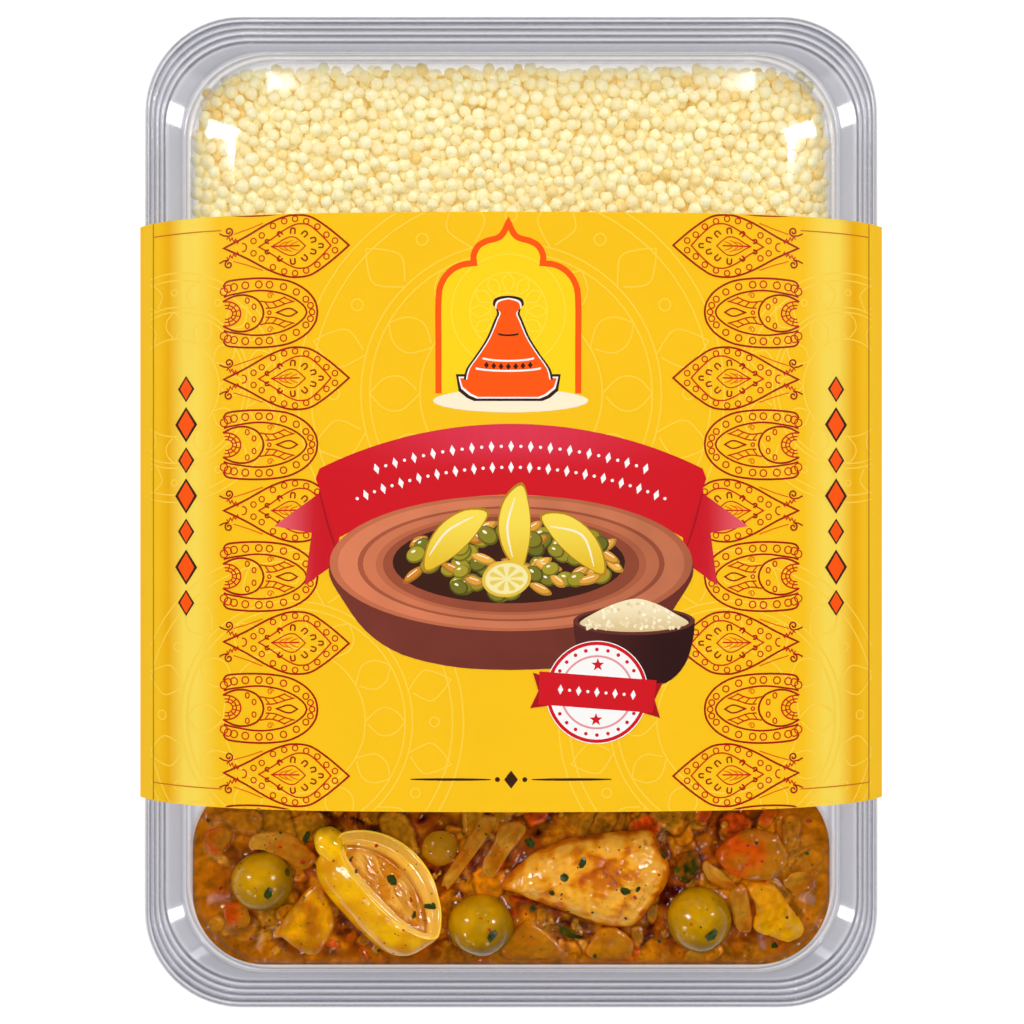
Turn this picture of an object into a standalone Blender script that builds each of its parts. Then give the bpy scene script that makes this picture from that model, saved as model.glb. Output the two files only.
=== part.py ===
"""Ready meal of chicken tagine stew with couscous, in a clear tray with a clear
domed lid and a card sleeve.

Frame: metres, +Z up, X across the pack, +Y towards the couscous end. The origin
is on the flat underside of the sleeve, in the middle of the pack, so the pack
lies on the plane z = 0.
"""
import math

import bmesh
import bpy
from mathutils import Matrix, Vector, noise

# ---- driving dimensions ----------------------------------------------------
PACK_WIDTH = 0.1698        # tray rim, across X
PACK_LENGTH = 0.2296       # tray rim, along Y
RIM_RADIUS = 0.0220        # outer corner of the rim
RIM_HEIGHT = 0.0290        # top face of the tray's flange above the table
SLEEVE_LENGTH = 0.1315     # card sleeve, along Y
CROWN_HEIGHT = 0.0186      # top of the sleeve above the flange
GAP = 0.0003               # left between pieces that touch
HALF_WIDTH = PACK_WIDTH / 2
HALF_LENGTH = PACK_LENGTH / 2

# ---- walls -----------------------------------------------------------------
CARD = 0.00045             # card of the sleeve
TRAY_WALL = 0.0008
LID_WALL = 0.0005
TRAY_BASE = CARD + GAP     # underside of the tray
SKIRT_DROP = 0.0040        # turned-down edge of the tray's flange

# ---- the two wells of the tray ---------------------------------------------
WELL_HALF_WIDTH = 0.0752
WELL_FLOOR = TRAY_BASE + TRAY_WALL
WELL_RADIUS = 0.0175
WELL_TAPER = math.radians(8)
FLOOR_FILLET = 0.0060
COUSCOUS_WELL = (-0.0550, 0.1064)   # lowest and highest Y of the well's mouth
STEW_WELL = (-0.1066, -0.0614)

# ---- fill levels -----------------------------------------------------------
SAUCE_LEVEL = RIM_HEIGHT - 0.0050
COUSCOUS_EDGE = RIM_HEIGHT - 0.0030  # where the grains meet the tray's wall
COUSCOUS_HEAP = 0.0048               # rise of the heap's middle over its edge
COUSCOUS_BUMP = 0.0009               # uneven top of the heap

# ---- smoothness ------------------------------------------------------------
CORNER_STEPS = 5
CROWN_STEPS = 26


# ---- small helpers ---------------------------------------------------------
def clear_scene():
    for old in list(bpy.data.objects):
        bpy.data.objects.remove(old, do_unlink=True)


def make_material(name, colour, roughness, metallic=0.0, alpha=1.0):
    material = bpy.data.materials.new(name)
    material.use_nodes = True
    shader = material.node_tree.nodes["Principled BSDF"]
    shader.inputs["Base Color"].default_value = (*colour, 1.0)
    shader.inputs["Roughness"].default_value = roughness
    shader.inputs["Metallic"].default_value = metallic
    shader.inputs["Alpha"].default_value = alpha
    return material


def make_object(name, bm, material, smooth_angle=math.radians(35)):
    """Turn a bmesh into a named object with outward faces."""
    bmesh.ops.recalc_face_normals(bm, faces=bm.faces)
    mesh = bpy.data.meshes.new(name)
    bm.to_mesh(mesh)
    bm.free()
    mesh.shade_smooth()
    mesh.set_sharp_from_angle(angle=smooth_angle)
    mesh.materials.append(material)
    piece = bpy.data.objects.new(name, mesh)
    bpy.context.scene.collection.objects.link(piece)
    return piece


def rounded_ring(half_x, half_y, radius, z, centre_y=0.0, side_steps=1):
    """Points of a rounded rectangle, anticlockwise seen from above."""
    corners = []
    for quarter, (sign_x, sign_y) in enumerate(((1, 1), (-1, 1), (-1, -1), (1, -1))):
        middle = Vector((sign_x * (half_x - radius), centre_y + sign_y * (half_y - radius), z))
        for step in range(CORNER_STEPS + 1):
            angle = math.pi / 2 * (quarter + step / CORNER_STEPS)
            corners.append(middle + radius * Vector((math.cos(angle), math.sin(angle), 0)))
    ring = []
    for index, point in enumerate(corners):
        ring.append(point)
        if index % (CORNER_STEPS + 1) == CORNER_STEPS:
            following = corners[(index + 1) % len(corners)]
            ring += [point.lerp(following, step / side_steps) for step in range(1, side_steps)]
    return ring


def loft(rings):
    """Skin a stack of rings with equal counts and close both ends."""
    bm = bmesh.new()
    loops = [[bm.verts.new(point) for point in ring] for ring in rings]
    count = len(loops[0])
    for lower, upper in zip(loops, loops[1:]):
        for index in range(count):
            following = (index + 1) % count
            bm.faces.new((lower[index], lower[following], upper[following], upper[index]))
    bm.faces.new(loops[0])
    bm.faces.new(loops[-1])
    return bm


def hide_cutter(cutter):
    cutter.hide_render = True
    cutter.display_type = "WIRE"
    return cutter


def add_boolean(target, operation, other):
    modifier = target.modifiers.new(f"{operation.lower()} {other.name}", "BOOLEAN")
    modifier.operation = operation
    modifier.solver = "EXACT"
    modifier.object = hide_cutter(other)


# ---- tray ------------------------------------------------------------------
def well_rings(well, outset, top_z, side_steps=1):
    """Rings of one tapered well, floor first. A positive outset is outside the
    cavity, for the wall's outer face; a negative one is inside it, for food."""
    low_y, high_y = well
    centre_y = (low_y + high_y) / 2
    mouth_half_y = (high_y - low_y) / 2
    floor_z = WELL_FLOOR - outset

    def ring(depth_z, extra_inset):
        inset = (RIM_HEIGHT - depth_z) * math.tan(WELL_TAPER) + extra_inset - outset
        return rounded_ring(WELL_HALF_WIDTH - inset, mouth_half_y - inset,
                            max(WELL_RADIUS - inset, 0.004), depth_z, centre_y, side_steps)

    rings = []
    fillet_steps = 3
    for step in range(fillet_steps + 1):
        angle = math.pi / 2 * step / fillet_steps
        rings.append(ring(floor_z + FLOOR_FILLET * (1 - math.cos(angle)),
                          FLOOR_FILLET * (1 - math.sin(angle))))
    rings.append(ring(top_z, 0.0))
    return rings


def build_tray():
    clear_plastic = make_material("tray_plastic", (0.62, 0.62, 0.66), 0.12, alpha=0.35)
    flange_underside = RIM_HEIGHT - TRAY_WALL
    lip = TRAY_WALL * 1.6
    rings = [
        rounded_ring(HALF_WIDTH - lip, HALF_LENGTH - lip, RIM_RADIUS - lip, flange_underside),
        rounded_ring(HALF_WIDTH - lip, HALF_LENGTH - lip, RIM_RADIUS - lip, RIM_HEIGHT - SKIRT_DROP),
        rounded_ring(HALF_WIDTH, HALF_LENGTH, RIM_RADIUS, RIM_HEIGHT - SKIRT_DROP),
        rounded_ring(HALF_WIDTH, HALF_LENGTH, RIM_RADIUS, RIM_HEIGHT),
    ]
    tray = make_object("tray", loft(rings), clear_plastic)
    for label, well in (("couscous", COUSCOUS_WELL), ("stew", STEW_WELL)):
        outside = loft(well_rings(well, TRAY_WALL, RIM_HEIGHT - TRAY_WALL / 2))
        add_boolean(tray, "UNION", make_object(f"cutter_{label}_outside", outside, clear_plastic))
    for label, well in (("couscous", COUSCOUS_WELL), ("stew", STEW_WELL)):
        inside = loft(well_rings(well, 0.0, RIM_HEIGHT + 2 * TRAY_WALL))
        add_boolean(tray, "DIFFERENCE", make_object(f"cutter_{label}_inside", inside, clear_plastic))
    return tray


# ---- lid -------------------------------------------------------------------
RIB_COUNT = 4
RIB_ZONE_SIDE = 0.0052     # width of the ribbed band along the long sides
RIB_ZONE_END = 0.0070      # and at the two ends
RIB_FOOT = 0.0008          # height of the first rib above the flange
RIB_HEAD = 0.0044          # height of the land above the flange
RIB_DIP = 0.0004           # valley between two ribs
LAND_INSET = 0.0096        # inner edge of the flat land
LAND_HEIGHT = 0.0060
BEAD_HEIGHT = 0.0070       # small step inside the land
BEAD_INSET = 0.0110
# The dome above the bead: (inset from the rim, height above the flange).
DOME = ((0.0128, 0.0088), (0.0175, 0.0110), (0.0260, 0.0134), (0.0380, 0.0151), (0.0560, 0.0164))
DOME_RADIUS = 0.0200


def lid_profile():
    """Outer face as (side inset, end inset, height above the flange, radius)."""
    profile = [(0.0, 0.0, RIB_FOOT, RIM_RADIUS)]
    for rib in range(RIB_COUNT):
        for part, dip in ((0.25, 0.0), (0.75, RIB_DIP)):
            share = (rib + part) / RIB_COUNT
            height = RIB_FOOT + (RIB_HEAD - RIB_FOOT) * share + RIB_DIP - dip
            side = RIB_ZONE_SIDE * share
            profile.append((side, RIB_ZONE_END * share, height, RIM_RADIUS - side / 2))
    profile.append((RIB_ZONE_SIDE, RIB_ZONE_END, RIB_HEAD, RIM_RADIUS - RIB_ZONE_SIDE / 2))
    profile.append((LAND_INSET, LAND_INSET, LAND_HEIGHT, RIM_RADIUS - LAND_INSET / 2))
    profile.append((BEAD_INSET - 0.0008, BEAD_INSET - 0.0008, BEAD_HEIGHT, DOME_RADIUS - 0.002))
    for inset, height in ((BEAD_INSET, BEAD_HEIGHT), *DOME):
        profile.append((inset, inset, height, DOME_RADIUS))
    return profile


def build_lid():
    clear_plastic = make_material("lid_plastic", (0.70, 0.70, 0.74), 0.08, alpha=0.25)
    outer = [rounded_ring(HALF_WIDTH - side, HALF_LENGTH - end, radius, RIM_HEIGHT + height)
             for side, end, height, radius in lid_profile()]
    inner = [rounded_ring(HALF_WIDTH - side, HALF_LENGTH - end, radius, RIM_HEIGHT + height - LID_WALL)
             for side, end, height, radius in lid_profile()]
    return make_object("lid", loft(outer[::-1] + inner), clear_plastic)


# ---- sleeve ----------------------------------------------------------------
CREASE_X = 0.0826          # fold between the top panel and the side panel
SLEEVE_HALF_WIDTH = HALF_WIDTH + GAP + CARD
BOTTOM_PANEL_HALF = 0.0725
SIDE_TOP = RIM_HEIGHT + 0.0009
SIDE_BOTTOM = RIM_HEIGHT - SKIRT_DROP - 0.0003


def crown_height(x):
    """Height of the bowed top panel above the table."""
    share = abs(x) / CREASE_X
    return RIM_HEIGHT + CROWN_HEIGHT - 0.0050 * share ** 2 - 0.0090 * share ** 6


def sleeve_section():
    """Outer outline of the sleeve in the XZ plane, anticlockwise."""
    outline = []
    for step in range(CROWN_STEPS + 1):
        x = CREASE_X * math.sin(math.pi / 2 * (1 - 2 * step / CROWN_STEPS))
        outline.append(Vector((x, 0, crown_height(x))))
    for sign in (-1, 1):
        side = [(SLEEVE_HALF_WIDTH, SIDE_TOP), (SLEEVE_HALF_WIDTH, SIDE_BOTTOM), (BOTTOM_PANEL_HALF, 0)]
        if sign == 1:
            side.reverse()
        outline += [Vector((sign * x, 0, z)) for x, z in side]
    return outline


def offset_outline(outline, distance):
    """Move a closed XZ outline inwards by a distance, corner by corner."""
    moved = []
    for index, point in enumerate(outline):
        before = (point - outline[index - 1]).normalized()
        after = (outline[(index + 1) % len(outline)] - point).normalized()
        inward = Vector((-before.z, 0, before.x)) + Vector((-after.z, 0, after.x))
        inward.normalize()
        half_turn = Vector((-after.z, 0, after.x)).dot(inward)
        moved.append(point + inward * distance / half_turn)
    return moved


def build_sleeve():
    card = make_material("sleeve_card", (0.98, 0.58, 0.03), 0.38)
    outer = sleeve_section()
    inner = offset_outline(outer, CARD)
    bm = bmesh.new()
    rows = []
    for outline in (outer, inner):
        for y in (-SLEEVE_LENGTH / 2, SLEEVE_LENGTH / 2):
            rows.append([bm.verts.new(point + Vector((0, y, 0))) for point in outline])
    outer_front, outer_back, inner_front, inner_back = rows
    count = len(outer)
    for first, second in ((outer_front, outer_back), (outer_back, inner_back),
                          (inner_back, inner_front), (inner_front, outer_front)):
        for index in range(count):
            following = (index + 1) % count
            bm.faces.new((first[index], first[following], second[following], second[index]))
    return make_object("sleeve", bm, card, math.radians(20))


# ---- couscous --------------------------------------------------------------
def build_couscous():
    """The heap of grains as one body, out to its uneven outline."""
    grain = make_material("couscous_grain", (0.90, 0.76, 0.40), 0.55)
    rings = well_rings(COUSCOUS_WELL, -GAP, COUSCOUS_EDGE, side_steps=7)
    low_y, high_y = COUSCOUS_WELL
    centre_y = (low_y + high_y) / 2
    edge_inset = (RIM_HEIGHT - COUSCOUS_EDGE) * math.tan(WELL_TAPER) + GAP
    half_x = WELL_HALF_WIDTH - edge_inset
    half_y = (high_y - low_y) / 2 - edge_inset
    for inset in (0.0025, 0.0065, 0.0120, 0.0200, 0.0300, 0.0410, 0.0530, 0.0650):
        rise = COUSCOUS_HEAP * (1 - math.exp(-inset / 0.006))
        ring = rounded_ring(half_x - inset, half_y - inset, max(WELL_RADIUS - inset * 0.6, 0.006),
                            COUSCOUS_EDGE + rise, centre_y, side_steps=7)
        for point in ring:
            point.z += COUSCOUS_BUMP * noise.noise(point * 120)
        rings.append(ring)
    return make_object("couscous", loft(rings), grain, math.radians(60))


# ---- pieces of the stew ----------------------------------------------------
def signed_power(value, exponent):
    return math.copysign(abs(value) ** exponent, value)


def pebble_rings(size, squareness, seed, gap, segments=10, rows=5, roughness=0.05):
    """Rings of a rounded lump about the origin: squareness 1 is an ellipsoid, and
    0.4 nearly a box. The gap makes the pocket that the sauce leaves around it."""
    half = Vector(size) / 2
    rings = []
    for row in range(rows + 1):
        rise = math.pi * (0.06 + 0.88 * row / rows) - math.pi / 2
        ring = []
        for segment in range(segments):
            turn = 2 * math.pi * segment / segments
            across = signed_power(math.cos(rise), squareness)
            unit = Vector((across * signed_power(math.cos(turn), squareness),
                           across * signed_power(math.sin(turn), squareness),
                           signed_power(math.sin(rise), squareness)))
            swell = 1 + roughness * noise.noise(unit * 1.7 + Vector((seed, 0, 0)))
            grown = half * swell + Vector((gap, gap, gap))
            ring.append(Vector((unit.x * grown.x, unit.y * grown.y, unit.z * grown.z)))
        rings.append(ring)
    return rings


def lens_rings(length, width, levels, gap):
    """Rings of a boat: pointed ends at its rim, blunt ones down its belly. A level is
    (share of the length, share of the width, height, shift of the belly along Y)."""
    rings = []
    segments = 16
    for share_x, share_y, z, shift in levels:
        half_x = length / 2 * share_x + gap
        half_y = width / 2 * share_y + gap
        belly = min(1.0, max(0.0, -z / BELLY_DEPTH))
        sharpness = RIM_SHARPNESS + (BELLY_SHARPNESS - RIM_SHARPNESS) * belly
        ring = []
        for segment in range(segments):
            turn = 2 * math.pi * segment / segments
            point_y = half_y * signed_power(math.sin(turn), 1 + sharpness) + shift
            point_y += LEMON_BOW * math.sin(turn) ** 2
            ring.append(Vector((half_x * math.cos(turn), point_y, z)))
        rings.append(ring)
    return rings


def outline_rings(corners, levels, gap):
    """Rings of a lump with a drawn plan. The plan's corners are rounded by a closed
    spline, and a level is (share of the plan, height, shift along Y)."""
    steps = 2
    plan = []
    count = len(corners)
    for index in range(count):
        a, b, c, d = (Vector((*corners[(index + k) % count], 0)) for k in (-1, 0, 1, 2))
        for step in range(steps):
            t = step / steps
            plan.append(0.5 * (2 * b + (c - a) * t + (2 * a - 5 * b + 4 * c - d) * t ** 2
                               + (3 * b - a - 3 * c + d) * t ** 3))
    rings = []
    for share, z, shift in levels:
        rings.append([point * share + point.normalized() * gap + Vector((0, shift, z))
                      for point in plan])
    return rings


def placed(rings, centre, turn, tilt=0.0):
    """Tilt rings about their own X axis, turn them about Z and move them."""
    place = (Matrix.Translation(centre) @ Matrix.Rotation(math.radians(turn), 4, "Z")
             @ Matrix.Rotation(math.radians(tilt), 4, "X"))
    return [[place @ point for point in ring] for ring in rings]


# The lumps of the stew in millimetres: name, centre x and y, height of the centre
# above the sauce, length, width, thickness, turn in degrees, squareness, kind.
LUMPS = (
    ("olive_1", -58.1, -86.4, 1.6, 15.0, 14.0, 14.2, 10, 1.0, "olive"),
    ("olive_2", -7.1, -96.6, 1.6, 15.8, 14.3, 14.2, 0, 1.0, "olive"),
    ("olive_3", 44.0, -95.2, 1.7, 15.2, 15.2, 14.8, 30, 1.0, "olive"),
    ("olive_4", -16.8, -78.9, -2.5, 10.8, 10.6, 10.6, 20, 1.0, "olive"),
    ("preserved_lemon_cube", -48.4, -96.8, -1.4, 14.6, 9.6, 9.0, 52, 0.6, "lemon"),
    ("lemon_peel_chunk", 62.3, -93.9, -0.8, 14.4, 9.0, 9.0, -54, 0.6, "lemon"),
    ("onion_strip_1", -9.5, -79.9, 0.1, 17.6, 3.6, 3.6, 60, 0.7, "onion"),
    ("onion_strip_2", -2.2, -78.9, -0.7, 12.8, 4.8, 4.6, 62, 0.7, "onion"),
    ("onion_slice_1", -53.2, -78.2, -1.6, 14.6, 4.6, 4.4, -20, 0.8, "onion"),
    ("onion_slice_2", 47.8, -86.0, -1.4, 6.4, 3.6, 4.2, -24, 0.8, "onion"),
    ("onion_slice_3", 53.6, -93.2, -1.2, 9.6, 3.6, 4.4, 82, 0.7, "onion"),
    ("onion_slice_4", 67.5, -86.6, -1.2, 7.0, 5.8, 4.6, 20, 0.8, "onion"),
    ("tomato_piece_1", 56.5, -80.0, -0.8, 16.0, 10.4, 8.4, -14, 0.85, "tomato"),
    ("tomato_piece_2", -68.4, -76.9, -1.0, 7.4, 6.0, 5.6, 60, 0.8, "tomato"),
    ("tomato_piece_3", -63.6, -95.6, -1.2, 6.0, 5.6, 5.0, 40, 0.8, "tomato"),
    ("carrot_cube_1", 6.6, -101.1, -1.6, 13.0, 7.6, 6.4, -14, 0.55, "carrot"),
    ("carrot_cube_2", 23.0, -101.4, -1.2, 10.2, 6.6, 6.2, 8, 0.55, "carrot"),
    ("pepper_strip", 15.0, -97.5, -0.3, 8.6, 2.6, 2.6, -14, 0.7, "pepper"),
    ("pepper_piece", 41.3, -82.6, -0.2, 8.0, 5.6, 4.0, 66, 0.6, "pepper"),
)
LUMP_COLOURS = {
    "olive": ((0.42, 0.30, 0.01), 0.22),
    "lemon": ((0.85, 0.45, 0.02), 0.30),
    "onion": ((0.50, 0.25, 0.04), 0.25),
    "tomato": ((0.62, 0.09, 0.01), 0.25),
    "carrot": ((0.60, 0.22, 0.02), 0.30),
    "pepper": ((0.05, 0.09, 0.01), 0.30),
}

# A piece of preserved lemon, squeezed into a bowed boat that leans on its side, with
# its belly swelling out under one rim: share of the length, share of the width,
# height and shift of each ring, from the keel over the rim to the flesh.
LEMON_LENGTH = 0.0328
LEMON_WIDTH = 0.0158
LEMON_BOW = 0.0024
LEMON_TURN = -46.4
LEMON_TILT = -36.0
LEMON_CENTRE = Vector((-0.0281, -0.0860, SAUCE_LEVEL + 0.0066))
RIM_SHARPNESS = 0.3
BELLY_SHARPNESS = -0.15
BELLY_DEPTH = 0.0060
LEMON_HULL = ((0.30, 0.30, -0.0153, -0.0040), (0.72, 0.75, -0.0130, -0.0036),
              (0.92, 1.01, -0.0095, -0.0030), (0.99, 1.12, -0.0060, -0.0020),
              (1.01, 1.12, -0.0025, -0.0007), (1.00, 1.00, 0.0000, 0.0000))
LEMON_CAVITY = ((0.93, 0.82, 0.0004, 0.0), (0.84, 0.66, -0.0004, 0.0), (0.76, 0.56, -0.0022, 0.0),
                (0.40, 0.28, -0.0016, 0.0))

# The chicken piece: corners of its plan about its middle, and its rising levels.
CHICKEN_CENTRE = Vector((0.0176, -0.0859, SAUCE_LEVEL))
CHICKEN_PLAN = ((-0.0200, -0.0018), (-0.0100, 0.0074), (0.0020, 0.0104), (0.0150, 0.0114),
                (0.0196, 0.0020), (0.0160, -0.0062), (0.0084, -0.0114), (-0.0050, -0.0080))
CHICKEN_LEVELS = ((0.60, -0.0105, 0.0), (0.86, -0.0088, 0.0), (0.98, -0.0040, 0.0), (1.00, 0.0008, 0.0),
                  (0.90, 0.0034, 0.0002), (0.66, 0.0054, 0.0008), (0.32, 0.0064, 0.0012))


def lemon_rings(levels, gap):
    return placed(lens_rings(LEMON_LENGTH, LEMON_WIDTH, levels, gap), LEMON_CENTRE,
                  LEMON_TURN, LEMON_TILT)


def build_stew():
    """The sauce up to its level, cut round every lump, and the lumps."""
    sauce = make_material("stew_sauce", (0.45, 0.13, 0.01), 0.22)
    stew = make_object("stew", loft(well_rings(STEW_WELL, -GAP, SAUCE_LEVEL)), sauce)
    materials = {kind: make_material(f"{kind}_flesh", colour, roughness)
                 for kind, (colour, roughness) in LUMP_COLOURS.items()}
    chicken_meat = make_material("chicken_meat", (0.82, 0.45, 0.12), 0.35)

    shapes = []
    for seed, row in enumerate(LUMPS):
        name, x, y, lift, length, width, thickness, turn, squareness, kind = row
        size = (length / 1000, width / 1000, thickness / 1000)
        centre = Vector((x / 1000, y / 1000, SAUCE_LEVEL + lift / 1000))
        fine = {"segments": 12, "rows": 7, "roughness": 0.02} if kind == "olive" else {}

        def rings(gap, size=size, squareness=squareness, seed=seed, centre=centre, turn=turn, fine=fine):
            return placed(pebble_rings(size, squareness, seed, gap, **fine), centre, turn)

        shapes.append((name, rings(0.0), rings(GAP), materials[kind]))

    hull_pocket = [(share_x, share_y, z - GAP, shift) for share_x, share_y, z, shift in LEMON_HULL]
    hull_pocket.append((1.00, 0.96, 0.0040, 0.0))
    shapes.append(("lemon_half", lemon_rings(LEMON_HULL + LEMON_CAVITY, 0.0),
                   lemon_rings(hull_pocket, GAP), materials["lemon"]))
    chicken = outline_rings(CHICKEN_PLAN, CHICKEN_LEVELS, 0.0)
    pocket_levels = [(share, z - GAP if z < 0 else z, shift) for share, z, shift in CHICKEN_LEVELS]
    chicken_pocket = outline_rings(CHICKEN_PLAN, pocket_levels, GAP)
    shapes.append(("chicken_piece", placed(chicken, CHICKEN_CENTRE, 0),
                   placed(chicken_pocket, CHICKEN_CENTRE, 0), chicken_meat))

    pockets = bpy.data.collections.new("stew_pockets")
    for name, body, pocket, material in shapes:
        make_object(name, loft(body), material, math.radians(50))
        pockets.objects.link(hide_cutter(make_object(f"cutter_{name}", loft(pocket), material)))
    modifier = stew.modifiers.new("cut round every lump", "BOOLEAN")
    modifier.operation = "DIFFERENCE"
    modifier.solver = "EXACT"
    modifier.operand_type = "COLLECTION"
    modifier.collection = pockets


# ---- build -----------------------------------------------------------------
clear_scene()
build_tray()
build_lid()
build_sleeve()
build_couscous()
build_stew()
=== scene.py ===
"""Looks of a sealed ready meal: a clear two-well tray under a clear domed lid, a
printed card sleeve, pearl couscous, and a stew of chicken, olives and lemon."""
import random
from math import atan2, copysign, cos, degrees, exp, pi, radians, sin, sqrt, tan, tau

import bmesh
import bpy
import numpy as np
from mathutils import Matrix, Vector
from mathutils.bvhtree import BVHTree
from mathutils.geometry import delaunay_2d_cdt
from mathutils.noise import noise


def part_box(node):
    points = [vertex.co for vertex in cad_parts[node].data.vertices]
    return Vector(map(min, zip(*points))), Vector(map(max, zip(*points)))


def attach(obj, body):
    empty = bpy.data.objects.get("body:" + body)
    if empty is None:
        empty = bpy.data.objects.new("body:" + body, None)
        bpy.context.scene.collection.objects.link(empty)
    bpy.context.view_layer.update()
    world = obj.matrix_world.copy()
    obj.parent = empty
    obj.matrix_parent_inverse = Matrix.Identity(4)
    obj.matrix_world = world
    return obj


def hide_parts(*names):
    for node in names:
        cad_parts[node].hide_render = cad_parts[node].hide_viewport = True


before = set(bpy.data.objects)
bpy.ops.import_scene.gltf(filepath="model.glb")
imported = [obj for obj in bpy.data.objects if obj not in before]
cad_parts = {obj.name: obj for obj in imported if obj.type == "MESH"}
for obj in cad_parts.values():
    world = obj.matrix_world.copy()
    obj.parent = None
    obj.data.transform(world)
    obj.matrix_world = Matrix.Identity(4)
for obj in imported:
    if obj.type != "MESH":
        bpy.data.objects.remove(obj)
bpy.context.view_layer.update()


# ---- Studio ------------------------------------------------------------------
# The pack lies on a white table and is seen from straight above. A large soft
# light hangs on either side of the couscous end, and the room is pale all round.
tray_low, tray_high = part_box("tray")
sleeve_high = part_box("sleeve")[1]
RIM_Z = tray_high.z
TABLE_WHITE = (0.45, 0.45, 0.45, 1.0)
CAMERA_HEIGHT = 0.320       # over the sleeve's crown
LIGHT_DISTANCE = 1.8
# Name, azimuth and elevation in degrees, width, height and power of every light.
LIGHTS = (
    ("key", 152, 40, 0.24, 0.42, 8.0), ("second", 28, 40, 0.24, 0.42, 8.0),
    ("upper_left", 104, 32, 0.09, 0.30, 1.2), ("upper_right", 76, 32, 0.09, 0.30, 1.2),
    ("low_left", 210, 34, 0.14, 0.22, 2.2), ("low_right", 330, 34, 0.14, 0.22, 2.2),
    ("foot_left", 230, 31, 0.10, 0.20, 0.4), ("foot_right", 310, 31, 0.10, 0.20, 0.4),
    ("foot_inner_left", 250, 32, 0.09, 0.20, 1.0), ("foot_inner_right", 290, 32, 0.09, 0.20, 1.0),
)
# Brightness of the room, from level with the pack to straight above it.
ROOM = ((0.10, (0.22, 0.22, 0.225)), (0.35, (0.07, 0.07, 0.07 * 1.02)), (0.55, (0.02, 0.02, 0.02 * 1.02)),
        (0.75, (0.010, 0.010, 0.010 * 1.02)), (0.95, (0.01, 0.01, 0.01)))


def mix(a, b, share):
    return tuple(x + (y - x) * share for x, y in zip(a, b))


def smooth_step(value):
    value = min(max(value, 0.0), 1.0)
    return value * value * (3 - 2 * value)


def set_inputs(node, values):
    """Fill a node's inputs: a socket is linked to one, and all else is a constant."""
    for key, value in values.items():
        if isinstance(value, bpy.types.NodeSocket):
            node.id_data.links.new(value, node.inputs[key])
        else:
            node.inputs[key].default_value = value


def add_node(tree, kind, values=(), **settings):
    node = tree.nodes.new(kind)
    for key, value in settings.items():
        setattr(node, key, value)
    set_inputs(node, dict(values))
    return node


def colour_ramp(tree, fac, stops):
    """The colour of a ramp through (position, colour) stops."""
    ramp = add_node(tree, "ShaderNodeValToRGB", {"Fac": fac})
    elements = ramp.color_ramp.elements
    for element, (position, colour) in zip(elements, (stops[0], stops[-1])):
        element.position, element.color = position, (*colour, 1.0)
    for position, colour in stops[1:-1]:
        elements.new(position).color = (*colour, 1.0)
    return ramp.outputs["Color"]


def tinted(tree, first, second):
    """One colour multiplied by another."""
    node = add_node(tree, "ShaderNodeMix", {"Factor": 1.0, "A": first, "B": second}, data_type="RGBA",
                    blend_type="MULTIPLY")
    return node.outputs["Result"]


def shaded(name, values):
    """A new material, its node tree and its Principled shader, with some inputs set."""
    material = bpy.data.materials.new(name)
    material.use_nodes = True
    shader = material.node_tree.nodes["Principled BSDF"]
    set_inputs(shader, values)
    return material, material.node_tree, shader


def fine_bump(tree, place, scale, strength, distance):
    """A normal that is roughened by fine noise."""
    relief = add_node(tree, "ShaderNodeTexNoise", {"Vector": place, "Scale": scale, "Detail": 3.0})
    bump = add_node(tree, "ShaderNodeBump", {"Strength": strength, "Distance": distance,
                                             "Height": relief.outputs["Fac"]})
    return bump.outputs["Normal"]


def softbox(name, direction, width, height, power):
    """A rectangular light that shines at the pack from a direction."""
    light = bpy.data.lights.new(name, "AREA")
    light.shape = "RECTANGLE"
    light.size, light.size_y, light.energy = width, height, power
    lamp = bpy.data.objects.new(name, light)
    lamp.location = Vector(direction).normalized() * LIGHT_DISTANCE
    lamp.rotation_euler = Vector(direction).to_track_quat("Z", "Y").to_euler()
    bpy.context.scene.collection.objects.link(lamp)
    return lamp


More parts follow.
